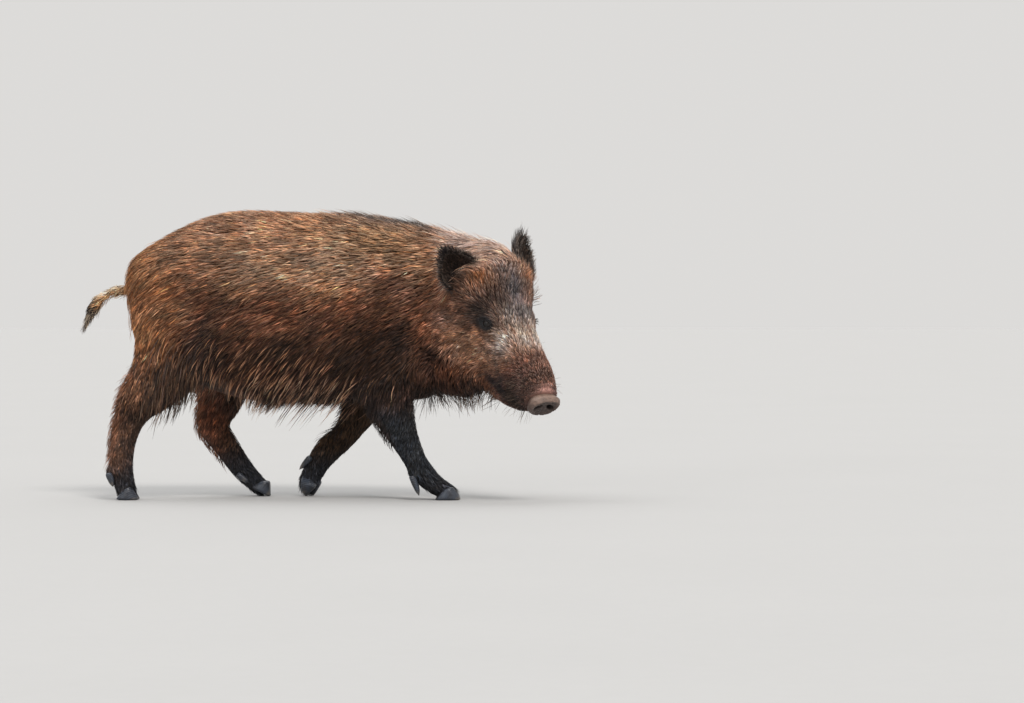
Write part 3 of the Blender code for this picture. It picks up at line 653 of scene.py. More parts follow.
head_and_neck = head + part["neck"]
mark(head, (126, 88, 71), (190, 154, 130), (54, 38, 33), 0.45)
mark(head * ramp(-above, 0.055, 0.095) * ramp(-ahead, -0.06, -0.03),
     (150, 100, 76), (204, 152, 120), (64, 42, 34), 0.5)
mark(head * crown, (92, 70, 62), (196, 164, 146), (46, 34, 32), 0.55)
mark(np.maximum(poll, part["neck"] * ramp(x, 0.20, 0.25) * faced((0, 0, 1), 0.3, 0.8)),
     (176, 142, 126), (238, 212, 196), (70, 52, 48), 0.9)
mark(head * face_spot(-0.075, 0.055, 0.03, 0.022, 0.022, 0.03), (152, 96, 60), (196, 140, 94), light=0.5)
mark(head * face_spot(-0.030, 0.0, 0.045, 0.045, 0.022, 0.03),
     (88, 82, 84), (160, 150, 146), (36, 33, 35), 0.4)
mark(head * face_spot(0.012, 0.018, 0.030, 0.022, 0.03, 0.03),
     (104, 90, 86), (190, 178, 168), (40, 36, 38), 0.6)
mark(head * np.clip(1.2 * face_spot(-0.015, 0.056, 0.002, 0.036, 0.03, 0.028), 0, 1),
     (58, 46, 42), (142, 124, 112), (26, 20, 20), 0.32)
mark(head * face_spot(0.000, 0.060, -0.075, 0.050, 0.04, 0.045),
     (172, 128, 103), (216, 178, 150), (78, 55, 46), 0.55)
mark(head * np.clip(1.15 * face_spot(0.062, 0.016, 0.010, 0.033, 0.046, 0.043), 0, 1)
     * np.clip(0.66 + 0.9 * noise(face, (0.045, 0.006, 0.006), 31), 0, 1),
     (186, 170, 157), (236, 228, 216), (92, 78, 72), 0.85)
mark(head * ramp(ahead, 0.090, 0.116) * (1 - under_jaw), (98, 64, 52), (196, 154, 134), (34, 21, 19), 0.42)
mark(head * ramp(ahead, 0.120, 0.160), (86, 60, 51), (176, 140, 122), (34, 23, 22), 0.42)
mark(head * np.clip(plump * 1.3, 0, 1) * ramp(-above, 0.035, 0.06), (44, 34, 36), (96, 76, 72), (24, 20, 22))
mark(head * face_spot(0.105, 0.040, -0.055, 0.015, 0.02, 0.016), (34, 34, 42), (70, 72, 82), (20, 20, 25))
mark(bare_snout, (176, 130, 118), (208, 168, 152), (150, 104, 94), 0.5)
mark(np.maximum(under_jaw * ramp(-above, 0.100, 0.128), head * ramp(-above, 0.100, 0.125)),
     (44, 32, 29), (112, 80, 60), (20, 15, 15), 0.2)
mark(head * face_spot(-0.095, 0.07, -0.115, 0.030, 0.05, 0.022), (170, 96, 60), (204, 136, 96), light=0.5)
mark(head * spot(0.315, -0.07, 0.297, 0.038, 0.06, 0.030) * 0.8, (188, 140, 112), (228, 188, 158))
# Painted light: lighter brown in the hollow behind the right jaw, to brighten its shade.
mark(head_and_neck * spot(0.262, -0.06, 0.266, 0.040, 0.06, 0.026) * 0.9, (142, 92, 69), (192, 142, 114))
mark(head * spot(0.355, -0.12, 0.388, 0.020, 0.06, 0.018) * 0.7, (66, 54, 49), (120, 104, 94))
mark(head * face_spot(0.150, 0.030, -0.050, 0.040, 0.03, 0.026), (42, 33, 29), (84, 66, 56))
mark(head_and_neck * face_spot(-0.150, 0.072, 0.024, 0.020, 0.028, 0.032),
     (58, 47, 43), (116, 96, 84), (26, 20, 19), 0.3)
# Painted shadow: a dark patch at the base of each ear, where the ear shades the head.
mark(head_and_neck * face_spot(-0.092, 0.078, 0.018, 0.021, 0.026, 0.024),
     (46, 36, 31), (90, 71, 59), (22, 17, 16), 0.25)
for side in eyes:
    mark(1 - ramp(slit_place(side)[0], 1.35, 2.5), (38, 37, 39), (78, 76, 78), (22, 20, 21), 0.15)
print("colours painted at", len(skin.points), "points")

# %% [markdown]
# ## Materials
#
# Bristles, skin and horn all carry fine grain, so the grain is one shader node group, with its own size and
# strength in each material. The colours painted on skin and coat reach the shader as an attribute of the
# mesh.

# %% Grain, and the materials that use it
MARKINGS = "Markings"


def fill(tree, node, inputs):
    """Gives each input of a shader node its value, or a link from another node's output."""
    for socket, value in inputs.items():
        if isinstance(value, bpy.types.NodeSocket):
            tree.links.new(value, node.inputs[socket])
        else:
            node.inputs[socket].default_value = value
    return node


def grain_group():
    """Colour in; colour, roughness and a bump normal out, all varied by two sizes of noise."""
    group = bpy.data.node_groups.new("Grain", "ShaderNodeTree")
    group.interface.new_socket("Colour", in_out="INPUT", socket_type="NodeSocketColor")
    for name, default in (("Fine", 900.0), ("Coarse", 70.0), ("Strength", 0.3), ("Roughness", 0.6),
                          ("Height", 0.0003)):
        group.interface.new_socket(name, in_out="INPUT",
                                   socket_type="NodeSocketFloat").default_value = default
    for name, kind in (("Colour", "NodeSocketColor"), ("Roughness", "NodeSocketFloat"),
                       ("Normal", "NodeSocketVector")):
        group.interface.new_socket(name, in_out="OUTPUT", socket_type=kind)

    def math_node(operation, inputs, kind="ShaderNodeMath"):
        node = group.nodes.new(kind)
        node.operation = operation
        return fill(group, node, inputs)

    given = group.nodes.new("NodeGroupInput").outputs
    place = group.nodes.new("ShaderNodeTexCoord").outputs["Object"]
    fine, coarse = (fill(group, group.nodes.new("ShaderNodeTexNoise"),
                         {"Vector": place, "Scale": given[name], "Detail": 3})
                    for name in ("Fine", "Coarse"))
    both = math_node("ADD", {0: fine.outputs["Fac"], 1: coarse.outputs["Fac"]}).outputs[0]
    centred = math_node("SUBTRACT", {0: both, 1: 1.0}).outputs[0]
    share = math_node("MULTIPLY_ADD", {0: centred, 1: given["Strength"], 2: 1.0}).outputs[0]
    shade = math_node("SCALE", {0: given["Colour"], "Scale": share}, "ShaderNodeVectorMath")
    rough = math_node("MULTIPLY", {0: given["Roughness"], 1: share})
    rough.use_clamp = True
    bump = fill(group, group.nodes.new("ShaderNodeBump"),
                {"Strength": 0.7, "Height": both, "Distance": given["Height"]})
    fill(group, group.nodes.new("NodeGroupOutput"),
         {"Colour": shade.outputs[0], "Roughness": rough.outputs[0], "Normal": bump.outputs[0]})
    return group


GRAIN = grain_group()


def finish_of(name, fine, coarse, strength, roughness, height, specular=0.5, plain=None):
    """A material with grain, whose colour is the one painted on the mesh, or a plain one."""
    made = bpy.data.materials.new(name)
    made.use_nodes = True
    tree = made.node_tree
    if plain:
        source = (*plain, 1)
    else:
        attribute = tree.nodes.new("ShaderNodeAttribute")
        attribute.attribute_name = MARKINGS
        source = attribute.outputs["Color"]
    grain = tree.nodes.new("ShaderNodeGroup")
    grain.node_tree = GRAIN
    fill(tree, grain, {"Colour": source, "Fine": fine, "Coarse": coarse, "Strength": strength,
                       "Roughness": roughness, "Height": height})
    fill(tree, tree.nodes["Principled BSDF"],
         {"Base Color": grain.outputs["Colour"], "Roughness": grain.outputs["Roughness"],
          "Normal": grain.outputs["Normal"], "Specular IOR Level": specular})
    return made


bristle = finish_of("bristle", 1800, 60, 0.30, 0.56, 0.0001, 0.26)
hide_finish = finish_of("hide", 700, 90, 0.45, 0.62, 0.0006, 0.35)


def finished(name, mesh, colours, finish):
    """A piece with its colours painted on it, shaded smooth, that rides with the boar."""
    layer = mesh.color_attributes.new(name=MARKINGS, type="FLOAT_COLOR", domain="POINT")
    values = np.ones((len(colours), 4), np.float32)
    values[:, :3] = np.clip(colours, 0, 1)
    layer.data.foreach_set("color", values.ravel())
    mesh.shade_smooth()
    mesh.materials.append(finish)
    piece = new_piece(name, mesh)
    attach(piece, "root")
    return piece


print("materials:", bristle.name, "and", hide_finish.name)

# %% [markdown]
# ## Growing tufts
#
# A hair system would grow a coat in one step, but hair is drawn only by Blender, and this boar has to keep
# its coat wherever it is opened. So each tuft is a thin closed spike of mesh with three sides. Its root is
# a place on the skin. It is laid along the skin in two strides, lifted by the coat's depth, and drawn
# towards its neighbours' tips, which makes locks. All spikes have the same few corners, so numpy makes them
# all at once.

# %% Roots, strides and spikes
FARTHEST_STRIDE = 0.014   # a stride that lands farther off the skin than this has left it
SWING = 0.13              # how far the hairs' ways differ
ROOT_DEEP = 0.0012        # of each root, under the skin
UV_PATCH = 0.003          # width of a tuft's patch on the bake map


class Roots:
    """Places spread evenly over a surface, with the surface's fields at each."""

    def __init__(self, surface, fields, chosen=None):
        density = fields["density"][surface.triangles].mean(axis=1) * surface.areas * TUFT_SHARE
        if chosen is not None:
            density = density * chosen[surface.triangles].mean(axis=1)
        total = np.cumsum(density)
        at = np.searchsorted(total, np.arange(0.5, total[-1]))
        first, second = rng.random((2, len(at)))
        fold = first + second > 1
        first[fold], second[fold] = 1 - first[fold], 1 - second[fold]
        self.corners = surface.triangles[at]
        self.weights = np.column_stack([1 - first - second, first, second])
        self.points = self.take(surface.points)
        self.normals = unit(self.take(surface.normals))
        self.fields = fields

    def take(self, values):
        """The surface's values at the roots."""
        if isinstance(values, str):
            values = self.fields[values]
        weights = self.weights if values.ndim == 1 else self.weights[:, :, None]
        return (values[self.corners] * weights).sum(axis=1)


def stride(surface, points, ways, lengths):
    """Each point moved along the surface, with the normal and the lie of the hair where it arrives."""
    aimed = points + ways * lengths[:, None]
    hits = [surface.tree.find_nearest(point) for point in aimed.tolist()]
    reached = np.array([hit[0] for hit in hits])
    corners = surface.triangles[np.array([hit[2] for hit in hits])]
    lost = np.linalg.norm(reached - aimed, axis=1) > FARTHEST_STRIDE
    reached[lost] = aimed[lost]
    flows = unit(surface.flow[corners].mean(axis=1))
    flows[lost] = ways[lost]
    return reached, unit(surface.normals[corners].mean(axis=1)), flows, lost


def gathered(tips, cell, share, seed):
    """How far each tip is drawn towards the middle of its lock, and which lock that is."""
    moved = tips + cell * 0.6 * np.column_stack([noise(tips, cell * 2.3, seed + k) for k in range(3)])
    keys = np.floor(moved / cell).astype(np.int64)
    _, lock, count = np.unique(keys, axis=0, return_inverse=True, return_counts=True)
    lock = lock.reshape(-1)
    centre = np.column_stack([np.bincount(lock, tips[:, axis]) for axis in range(3)]) / count[:, None]
    return (centre[lock] - tips) * share[:, None], lock


def lines_of(surface, roots, segments=2, cell=0.0085, seed=40, loose=False):
    """The middle line of each tuft, as (tuft, place along it, 3)."""
    count = len(roots.points)
    length = roots.take("length") * rng.uniform(0.72, 1.18, count)
    rise = np.minimum(roots.take("depth") * rng.uniform(0.35, 1.0, count)
                      + length * roots.take("lift") * rng.uniform(0.6, 1.15, count), length * 0.92)
    run = np.sqrt(np.maximum(length ** 2 - rise ** 2, 1e-10))
    ways = unit(roots.take("flow"))
    swing = rng.normal(0, SWING, count)[:, None]
    ways = unit(ways + np.cross(roots.normals, ways) * swing)
    if loose:                                                # hair that leaves the skin
        middle_at, end_at = (roots.points + ways * (run * share)[:, None] for share in (0.5, 1.0))
        middle_up = end_up = roots.normals
    else:
        middle_at, middle_up, middle_way, lost = stride(surface, roots.points, ways, run * 0.5)
        middle_way = unit(middle_way + np.cross(middle_up, middle_way) * swing)
        end_at, end_up, _, lost_end = stride(surface, middle_at, middle_way, run * 0.5)
        middle_up[lost], end_up[lost | lost_end] = roots.normals[lost], roots.normals[lost | lost_end]
    sag = (roots.take("sag") * length)[:, None] * np.array([0, 0, -1.0])
    middle_at = middle_at + middle_up * (rise * 0.66)[:, None] + sag * 0.3
    end_at = end_at + end_up * rise[:, None] + sag
    pull, lock = gathered(end_at, cell, roots.take("clump"), seed)
    base = roots.points - roots.normals * ROOT_DEEP
    bend = 2 * (middle_at + pull * 0.25) - (base + end_at + pull) / 2
    lines = [(1 - t) ** 2 * base + 2 * t * (1 - t) * bend + t ** 2 * (end_at + pull)
             for t in (k / segments for k in range(segments + 1))]
    return np.stack(lines, axis=1), lock


def spikes(name, lines, widths, ups, colours, places, flatness=0.6):
    """Thin closed spikes along the lines, as one piece. Colours are given at each place along them."""
    count, stations = lines.shape[:2]
    rings = stations - 1
    corners = 3 * rings + 1
    ways = unit(np.gradient(lines, axis=1))
    across = unit(np.cross(ways, ups[:, None, :]))
    above = np.cross(across, ways)
    points, shown = np.empty((2, count, corners, 3))
    faces, patch = [(0, 1, 2)], [((0, 0), (0.3, 0), (0.6, 0))]
    for ring in range(rings):
        low, high = ring / rings, (ring + 1) / rings
        half = widths[:, None] * (0.80 + 0.9 * low - 1.35 * low * low)
        points[:, 3 * ring] = lines[:, ring] + across[:, ring] * half
        points[:, 3 * ring + 1] = lines[:, ring] + above[:, ring] * half * flatness
        points[:, 3 * ring + 2] = lines[:, ring] - across[:, ring] * half
        shown[:, 3 * ring:3 * ring + 3] = colours[:, ring][:, None]
        for k in range(3):
            a, b = 3 * ring + k, 3 * ring + (k + 1) % 3
            left, right = k / 3, (k + 1) / 3
            if ring == rings - 1:
                faces.append((b, a, 3 * rings))
                patch.append(((right, low), (left, low), ((left + right) / 2, high)))
            else:
                faces += [(b, a, a + 3), (b, a + 3, b + 3)]
                patch += [((right, low), (left, low), (left, high)),
                          ((right, low), (left, high), (right, high))]
    points[:, -1], shown[:, -1] = lines[:, -1], colours[:, -1]
    points[:, :, 2] = np.maximum(points[:, :, 2], 0.0003)    # no hair goes through the floor
    every = np.array(faces)[None] + (np.arange(count) * corners)[:, None, None]
    mesh = bpy.data.meshes.new(name)
    mesh.vertices.add(count * corners)
    mesh.vertices.foreach_set("co", points.astype(np.float32).ravel())
    mesh.loops.add(every.size)
    mesh.loops.foreach_set("vertex_index", every.astype(np.int32).ravel())
    mesh.polygons.add(every.size // 3)
    mesh.polygons.foreach_set("loop_start", np.arange(0, every.size, 3, dtype=np.int32))
    mesh.update(calc_edges=True)
    spread = places[:, None, None, :] + ((np.array(patch) - 0.5) * UV_PATCH)[None]
    mesh.uv_layers.new(name="OFBake").uv.foreach_set("vector", spread.astype(np.float32).ravel())
    return finished(name, mesh, shown.reshape(-1, 3), bristle)


def tuft_colours(roots, lock, stations, seed=70):
    """Dark roots, the coat's colour along the bristle, light tips on some, and a shade for each lock."""
    count = len(roots.points)
    shade_of_lock = np.random.default_rng(seed).normal(0, 1, lock.max() + 1)[lock]
    streak = noise(roots.points, (0.045, 0.014, 0.010), seed)
    light = np.exp(0.40 * shade_of_lock + 0.40 * rng.normal(0, 1, count) + 0.58 * streak - 0.09)
    warm = 0.07 * rng.normal(0, 1, count) + 0.10 * noise(roots.points, 0.03, seed + 1)
    tint = np.column_stack([light * (1 + warm), light, light * (1 - 1.3 * warm)])
    along = roots.take("mid") * tint
    base = roots.take("root") * tint ** 0.4
    has_tip = rng.random(count) + 0.18 * shade_of_lock < roots.take("tipped")
    ends = np.where(has_tip[:, None], roots.take("tip") * tint ** 0.6, along * 0.75)
    made = []
    for t in (k / (stations - 1) for k in range(stations)):
        low, high = np.clip(t / 0.45, 0, 1), np.clip((t - 0.5) / 0.5, 0, 1)
        made.append((base + (along - base) * low) * (1 - high) + ends * high)
    return np.stack(made, axis=1)


skin.grow_ready(flow)
print("ready to grow on", len(skin.points), "points")

# %% [markdown]
# ## The coat in pieces
#
# One mesh of a million and more triangles is slow to handle, so the coat is grown in pieces that follow the
# body: face, cheeks, neck, shoulders, flanks, rump, tail and legs. Each has a bake map, the skin of that
# piece unrolled round its own axis, on which every tuft has a small patch of its own where its root is.

# %% Unroll each region and grow its tufts
SHOULDER_FROM, FLANK_FROM, MID_LEGS, SNOUT_FROM = 0.06, -0.16, -0.05, 0.030


def unrolled(points, centre, axis, top, area=(0.02, 0.98, 0.02, 0.98)):
    """Places on a cylinder round an axis, unrolled to fill an area of the unit square."""
    axis, top = unit(np.array(axis, float)), np.array(top, float)
    top = unit(top - axis * top.dot(axis))
    offset = points - np.array(centre)
    u = offset @ axis
    v = np.arctan2(offset @ np.cross(axis, top), offset @ top)
    left, right, low, high = area
    u = left + (right - left) * (u - u.min()) / (np.ptp(u) + 1e-9)
    v = low + (high - low) * (v - v.min()) / (np.ptp(v) + 1e-9)
    return np.column_stack([u, v])


def leg_places(points):
    """Each leg unrolled round its own length, the two legs side by side."""
    places = np.zeros((len(points), 2))
    for is_left, area in ((False, (0.02, 0.98, 0.02, 0.48)), (True, (0.02, 0.98, 0.52, 0.98))):
        chosen = (points[:, 1] > 0) == is_left
        own = points[chosen]
        centre = own.mean(axis=0)
        axis = np.linalg.svd(own - centre, full_matrices=False)[2][0]
        places[chosen] = unrolled(own, centre, axis, (0, -1, 0), area)
    return places


whole = Roots(skin, coat)
share_of = {name: whole.take(values) for name, values in part.items()}
leg_share = sum(share_of[name] for name in FLESH if name.startswith("leg"))
in_head_space = to_head(whole.points)
px, py, _ = whole.points.T
region = np.where(px > SHOULDER_FROM, "shoulder", np.where(px > FLANK_FROM, "flank", "rump")).astype("U20")
region = np.char.add(region, np.where(py < middle("trunk").y, "_right", "_left"))
region[(leg_share > 0.5) & (px > MID_LEGS)] = "forelegs"
region[(leg_share > 0.5) & (px <= MID_LEGS)] = "hind_legs"
region[share_of["neck"] > 0.5] = "neck"
region[share_of["tail"] > 0.5] = "tail"
on_head = share_of["head"] > 0.5
region[on_head] = np.where(in_head_space[on_head, 0] > SNOUT_FROM, "snout",
                           np.where(in_head_space[on_head, 1] < 0, "cheek_right", "cheek_left"))
forward, up_in_head = head_axes[:, 0], head_axes[:, 2]
head_middle = from_head((0.0, 0.0, -0.045))
TRUNK_AXIS = ((0, middle("trunk").y, 0.385), (1, 0, 0), (0, 0, 1))
AXES = {"snout": (head_middle, forward, -up_in_head), "cheek_right": (head_middle, forward, up_in_head),
        "cheek_left": (head_middle, forward, up_in_head),
        "neck": ((0.28, -0.02, 0.36), (1, -0.4, -0.3), (0, 0, -1)),
        "tail": ((-0.42, 0.07, 0.41), (-0.8, 0.1, -0.6), (0, 0, 1))}

lines, lock = lines_of(skin, whole)
hair_colours = tuft_colours(whole, lock, lines.shape[1])
half_width = whole.take("width") * rng.uniform(0.75, 1.25, len(px))
triangles = 0
for name in sorted(set(region)):
    chosen = region == name
    own = whole.points[chosen]
    places = leg_places(own) if name.endswith("legs") else unrolled(own, *AXES.get(name, TRUNK_AXIS))
    piece = spikes(f"coat_{name}", lines[chosen], half_width[chosen], whole.normals[chosen],
                   hair_colours[chosen], places)
    triangles += len(piece.data.polygons)
    print(piece.name, len(own), "tufts,", len(piece.data.polygons), "triangles")
print("coat so far", triangles, "triangles")

# %% [markdown]
# ## Ears
#
# A boar's ear is a cupped leaf of thin cartilage, furred outside, with long hairs inside its front rim. It
# is lofted here from closed sections: each row goes out along the back of the leaf and returns along its
# inside, so the rim is thinner than the middle. The root runs on under the crown's coat, where the solids'
# ears stop.

# %% Loft and fur the ears
EAR_THICK = 0.0034
EAR_ROOT = 0.034          # how far the ear goes down under the coat
EAR_SUNK = 0.012          # its base, below the place given for it
EAR_CUP = math.radians(78)
EAR_ROWS, EAR_COLUMNS = 44, 26
EARS = {
    "ear_right": dict(base=(-0.105, -0.064, 0.009), way=(-0.49, -0.73, 0.49), opening=(0.86, -0.19, 0.34),
                      length=0.066, width=0.073),
    "ear_left": dict(base=(-0.108, 0.070, 0.022), way=(-0.86, 0.28, 0.40), opening=(0.98, 0.05, 0.10),
                     length=0.078, width=0.070),
}


def ear_surface(base, way, opening, length, width):
    """The ear as a surface, with each point's place along it, across it, and whether it is inside."""
    along = unit(head_axes @ np.array(way))
    out = head_axes @ np.array(opening)
    out = unit(out - along * out.dot(along))
    across = np.cross(along, out)
    start = from_head(base) - along * EAR_SUNK
    s = np.sin(np.linspace(-math.pi / 2, math.pi / 2, EAR_COLUMNS))
    rows = []
    for i in range(EAR_ROWS + 1):
        reach = -EAR_ROOT + (length + EAR_SUNK + EAR_ROOT) * i / EAR_ROWS
        t = max(reach / (length + EAR_SUNK), 0.0)
        half = width / 2 * max(math.sin(math.pi * (0.18 + 0.82 * min(t, 0.999))), 0.0) ** 0.75
        half = max(half * (1 + 0.35 * min(reach, 0) / EAR_ROOT), 0.0012)
        cup = EAR_CUP * (1 - 0.55 * t)
        radius = half / max(math.sin(cup), 0.2)
        for inside, place in ((0, s), (1, s[::-1])):
            thick = EAR_THICK * (1 - 0.45 * t) * np.sqrt(np.clip(1 - place ** 4, 0.04, 1)) / 2
            ridge = 0.0012 * np.sin(place * 5.2) * (1 - t) * inside
            bend = place * cup
            normal = -np.sin(bend)[:, None] * across + np.cos(bend)[:, None] * out
            line = (start + along * reach + across * (radius * np.sin(bend))[:, None]
                    + out * (radius * (1 - np.cos(bend)) - 0.010 * math.sin(math.pi * t))[:, None])
            line = line + normal * ((thick if inside else -thick) + ridge)[:, None]
            rows.append(np.column_stack([line, np.full(EAR_COLUMNS, t), place, np.full(EAR_COLUMNS, inside)]))
    count = 2 * EAR_COLUMNS
    grid = np.array(rows).reshape(EAR_ROWS + 1, count, 6)
    body = bmesh.new()
    loops = [[body.verts.new(point[:3]) for point in row] for row in grid]
    for one, two in zip(loops, loops[1:]):
        for k in range(count):
            body.faces.new((one[k], one[(k + 1) % count], two[(k + 1) % count], two[k]))
    body.faces.new(loops[0])
    body.faces.new(loops[-1])
    bmesh.ops.triangulate(body, faces=body.faces)
    bmesh.ops.recalc_face_normals(body, faces=body.faces)
    return mesh_of(body), grid.reshape(-1, 6)[:, 3:].T, along, across


ears = []
for name, spec in EARS.items():
    mesh, (t, s, inside), along, across = ear_surface(**spec)
    ear = Skin(mesh)
    rim = ramp(np.abs(s), 0.72, 0.97)
    shaggy = (1 - inside) * ramp(t, 0.30, 0.75) * ramp(-np.abs(s), -0.90, -0.4)
    spread = s * (0.5 + 0.8 * rim) * (1 - 0.4 * t)
    ear.grow_ready(flat(along[None] + across[None] * spread[:, None], ear.normals))
    fur = fields_of(ear, length=0.0150, width=0.00055, lift=0.16, density=2.6e5, sag=0.0, clump=0.45,
                    depth=0.0016, tipped=0.30, mid=colour(46, 38, 36), tip=colour(110, 96, 88),
                    root=colour(24, 19, 19))
    fur["flow"] = ear.flow
    lay(fur, inside, mid=colour(52, 40, 34), tip=colour(98, 80, 68), root=colour(34, 26, 23),
        tipped=0.5, density=1.5e5, lift=0.34)
    lay(fur, inside * ramp(-t, -0.80, -0.2), length=0.0170)
    lay(fur, (1 - inside) * ramp(-np.abs(s), -0.95, -0.5), length=0.0210)
    lay(fur, shaggy, length=0.0280)
    lay(fur, rim * ramp(t, 0.2, 0.5), mid=colour(84, 72, 65))
    lay(fur, rim, tip=colour(150, 134, 122), tipped=0.6, lift=0.42, length=0.0150, width=0.00042)
    lay(fur, shaggy, lift=0.50)
    fur["density"][t <= 0] = 0
    ears.append((name, ear, fur, np.column_stack([0.25 + 0.22 * s + 0.5 * inside, 0.03 + 0.94 * t])))

for name, ear, fur, places in ears:
    roots = Roots(ear, fur)
    lines, lock = lines_of(ear, roots, 3, cell=0.005, seed=47, loose=True)
    widths = roots.take("width") * rng.uniform(0.8, 1.2, len(lines))
    piece = spikes(f"coat_{name}", lines, widths, roots.normals,
                   tuft_colours(roots, lock, lines.shape[1], seed=81), roots.take(places))
    print(piece.name, len(lines), "tufts")

# %% [markdown]
# ## The skin as one piece
#
# Body and ears become one mesh, so the hide has no seam. It shows where the coat is thin, as on the snout,
# round the eyes and between tufts, where it looks like dark underwool.

# %% Make the skin
UNDERWOOL = 0.45          # share of the bristles' colour in the skin's
woolly = 1 - np.clip(bare_snout * 1.2 + head * ramp(ahead, 0.150, 0.185), 0, 1)
skin_colours = [paint(coat["mid"], coat["root"] * (1 - UNDERWOOL) + coat["mid"] * UNDERWOOL, woolly)]
all_points, all_faces, start = [skin.points], [skin.triangles], len(skin.points)
for _, ear, fur, _ in ears:
    skin_colours.append(fur["root"] * 0.4 + fur["mid"] * 0.6)
    all_points.append(ear.points)
    all_faces.append(ear.triangles + start)
    start += len(ear.points)
skin_mesh = bpy.data.meshes.new("skin")
skin_mesh.from_pydata(np.vstack(all_points).tolist(), [], np.vstack(all_faces).tolist())
skin_piece = finished("skin", skin_mesh, np.vstack(skin_colours), hide_finish)
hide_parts(*FLESH, "ear_left", "ear_right")
print("skin of", len(skin_mesh.polygons), "triangles")

# %% [markdown]
# ## Eyes
#
# The eye of a boar is dark brown with a wide, level pupil, under a cornea that bulges a little. A painted
# sphere would do from afar. Here the cornea is real shape, since it is what makes the highlight sit
# forward, and a clear coat makes it wet.

# %% Make the eyes
CORNEA_RISE = 0.0011
IRIS_EDGE = 0.68          # angle from the eye's axis, in radians
eye_finish = finish_of("eye", 1500, 300, 0.25, 0.08, 0.00001, 0.12)
fill(eye_finish.node_tree, eye_finish.node_tree.nodes["Principled BSDF"],
     {"Coat Weight": 0.5, "Coat Roughness": 0.02})

for side, word in SIDES:
    axes = np.array(slit_axes(side))
    ball = bmesh.new()
    bmesh.ops.create_uvsphere(ball, u_segments=72, v_segments=48, radius=1.0)
    mesh = mesh_of(ball, f"eyeball_{word}")
    sphere = numbers(mesh.vertices, "co", 3).astype(float)
    off_axis = np.arccos(np.clip(sphere[:, 2], -1, 1))
    radius = eye_radius - 0.0004 + CORNEA_RISE * np.exp(-(off_axis / 0.62) ** 4)
    turned = sum(np.outer(sphere[:, k], axes[k]) for k in range(3))
    mesh.vertices.foreach_set("co", (eye_at[side] + turned * radius[:, None]).astype(np.float32).ravel())
    if np.linalg.det(axes) < 0:
        mesh.flip_normals()
    iris = 1 - ramp(off_axis, 0.66, 0.78)
    round_pupil = np.column_stack([np.arctan2(sphere[:, 1], sphere[:, 0]) * 6, off_axis * 2, off_axis * 0])
    shown = layered(len(sphere), (44, 32, 28),
                    ((20, 14, 11), iris),
                    ((34, 22, 16), iris * (0.5 + 0.5 * noise(round_pupil, 1.0, 9)) * 0.7),
                    ((16, 11, 10), bell(off_axis, IRIS_EDGE, 0.06)),
                    ((5, 4, 4), 1 - ramp(np.hypot(sphere[:, 0] / 0.40, sphere[:, 1] / 0.25), 0.92, 1.05)))
    eye = finished(f"eyeball_{word}", mesh, shown, eye_finish)
    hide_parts(f"eye_{word}")
print("eyes with corneas that rise", CORNEA_RISE * 1000, "mm")

# %% [markdown]
# ## The snout's disc
#
# The disc is bare, moist and rough, with a rolled rim that is thickest on top, where the animal pushes
# soil, and two nostrils whose slits run out and down. It is one polar grid: its face is a height over each
# place, so the nostrils and the rim are formulas, and behind the rim it turns back into the snout.

# %% Make the disc
DISC_HALF_WIDE, DISC_HALF_HIGH = 0.0355, 0.0262
NOSTRIL_AT, NOSTRIL_DEEP = 0.0150, 0.0120
RINGS, AROUND = 58, 120
# How far back each ring behind the rim lies, and its size.
BEHIND_RIM = ((-0.0075, 1.0), (-0.0105, 0.965), (-0.0140, 0.90), (-0.0200, 0.84), (-0.030, 0.78))


def nostril(wide, high):
    """1 in the nostrils, 0 outside. Their slits rise towards the middle."""
    lean = (np.abs(wide) - NOSTRIL_AT) + 0.35 * high
    oval = np.hypot(lean / 0.0076, (high + 0.001 + 0.25 * (np.abs(wide) - NOSTRIL_AT)) / 0.0054)
    return 1 / (1 + np.exp(np.clip((oval - 1) * 9, -40, 40)))


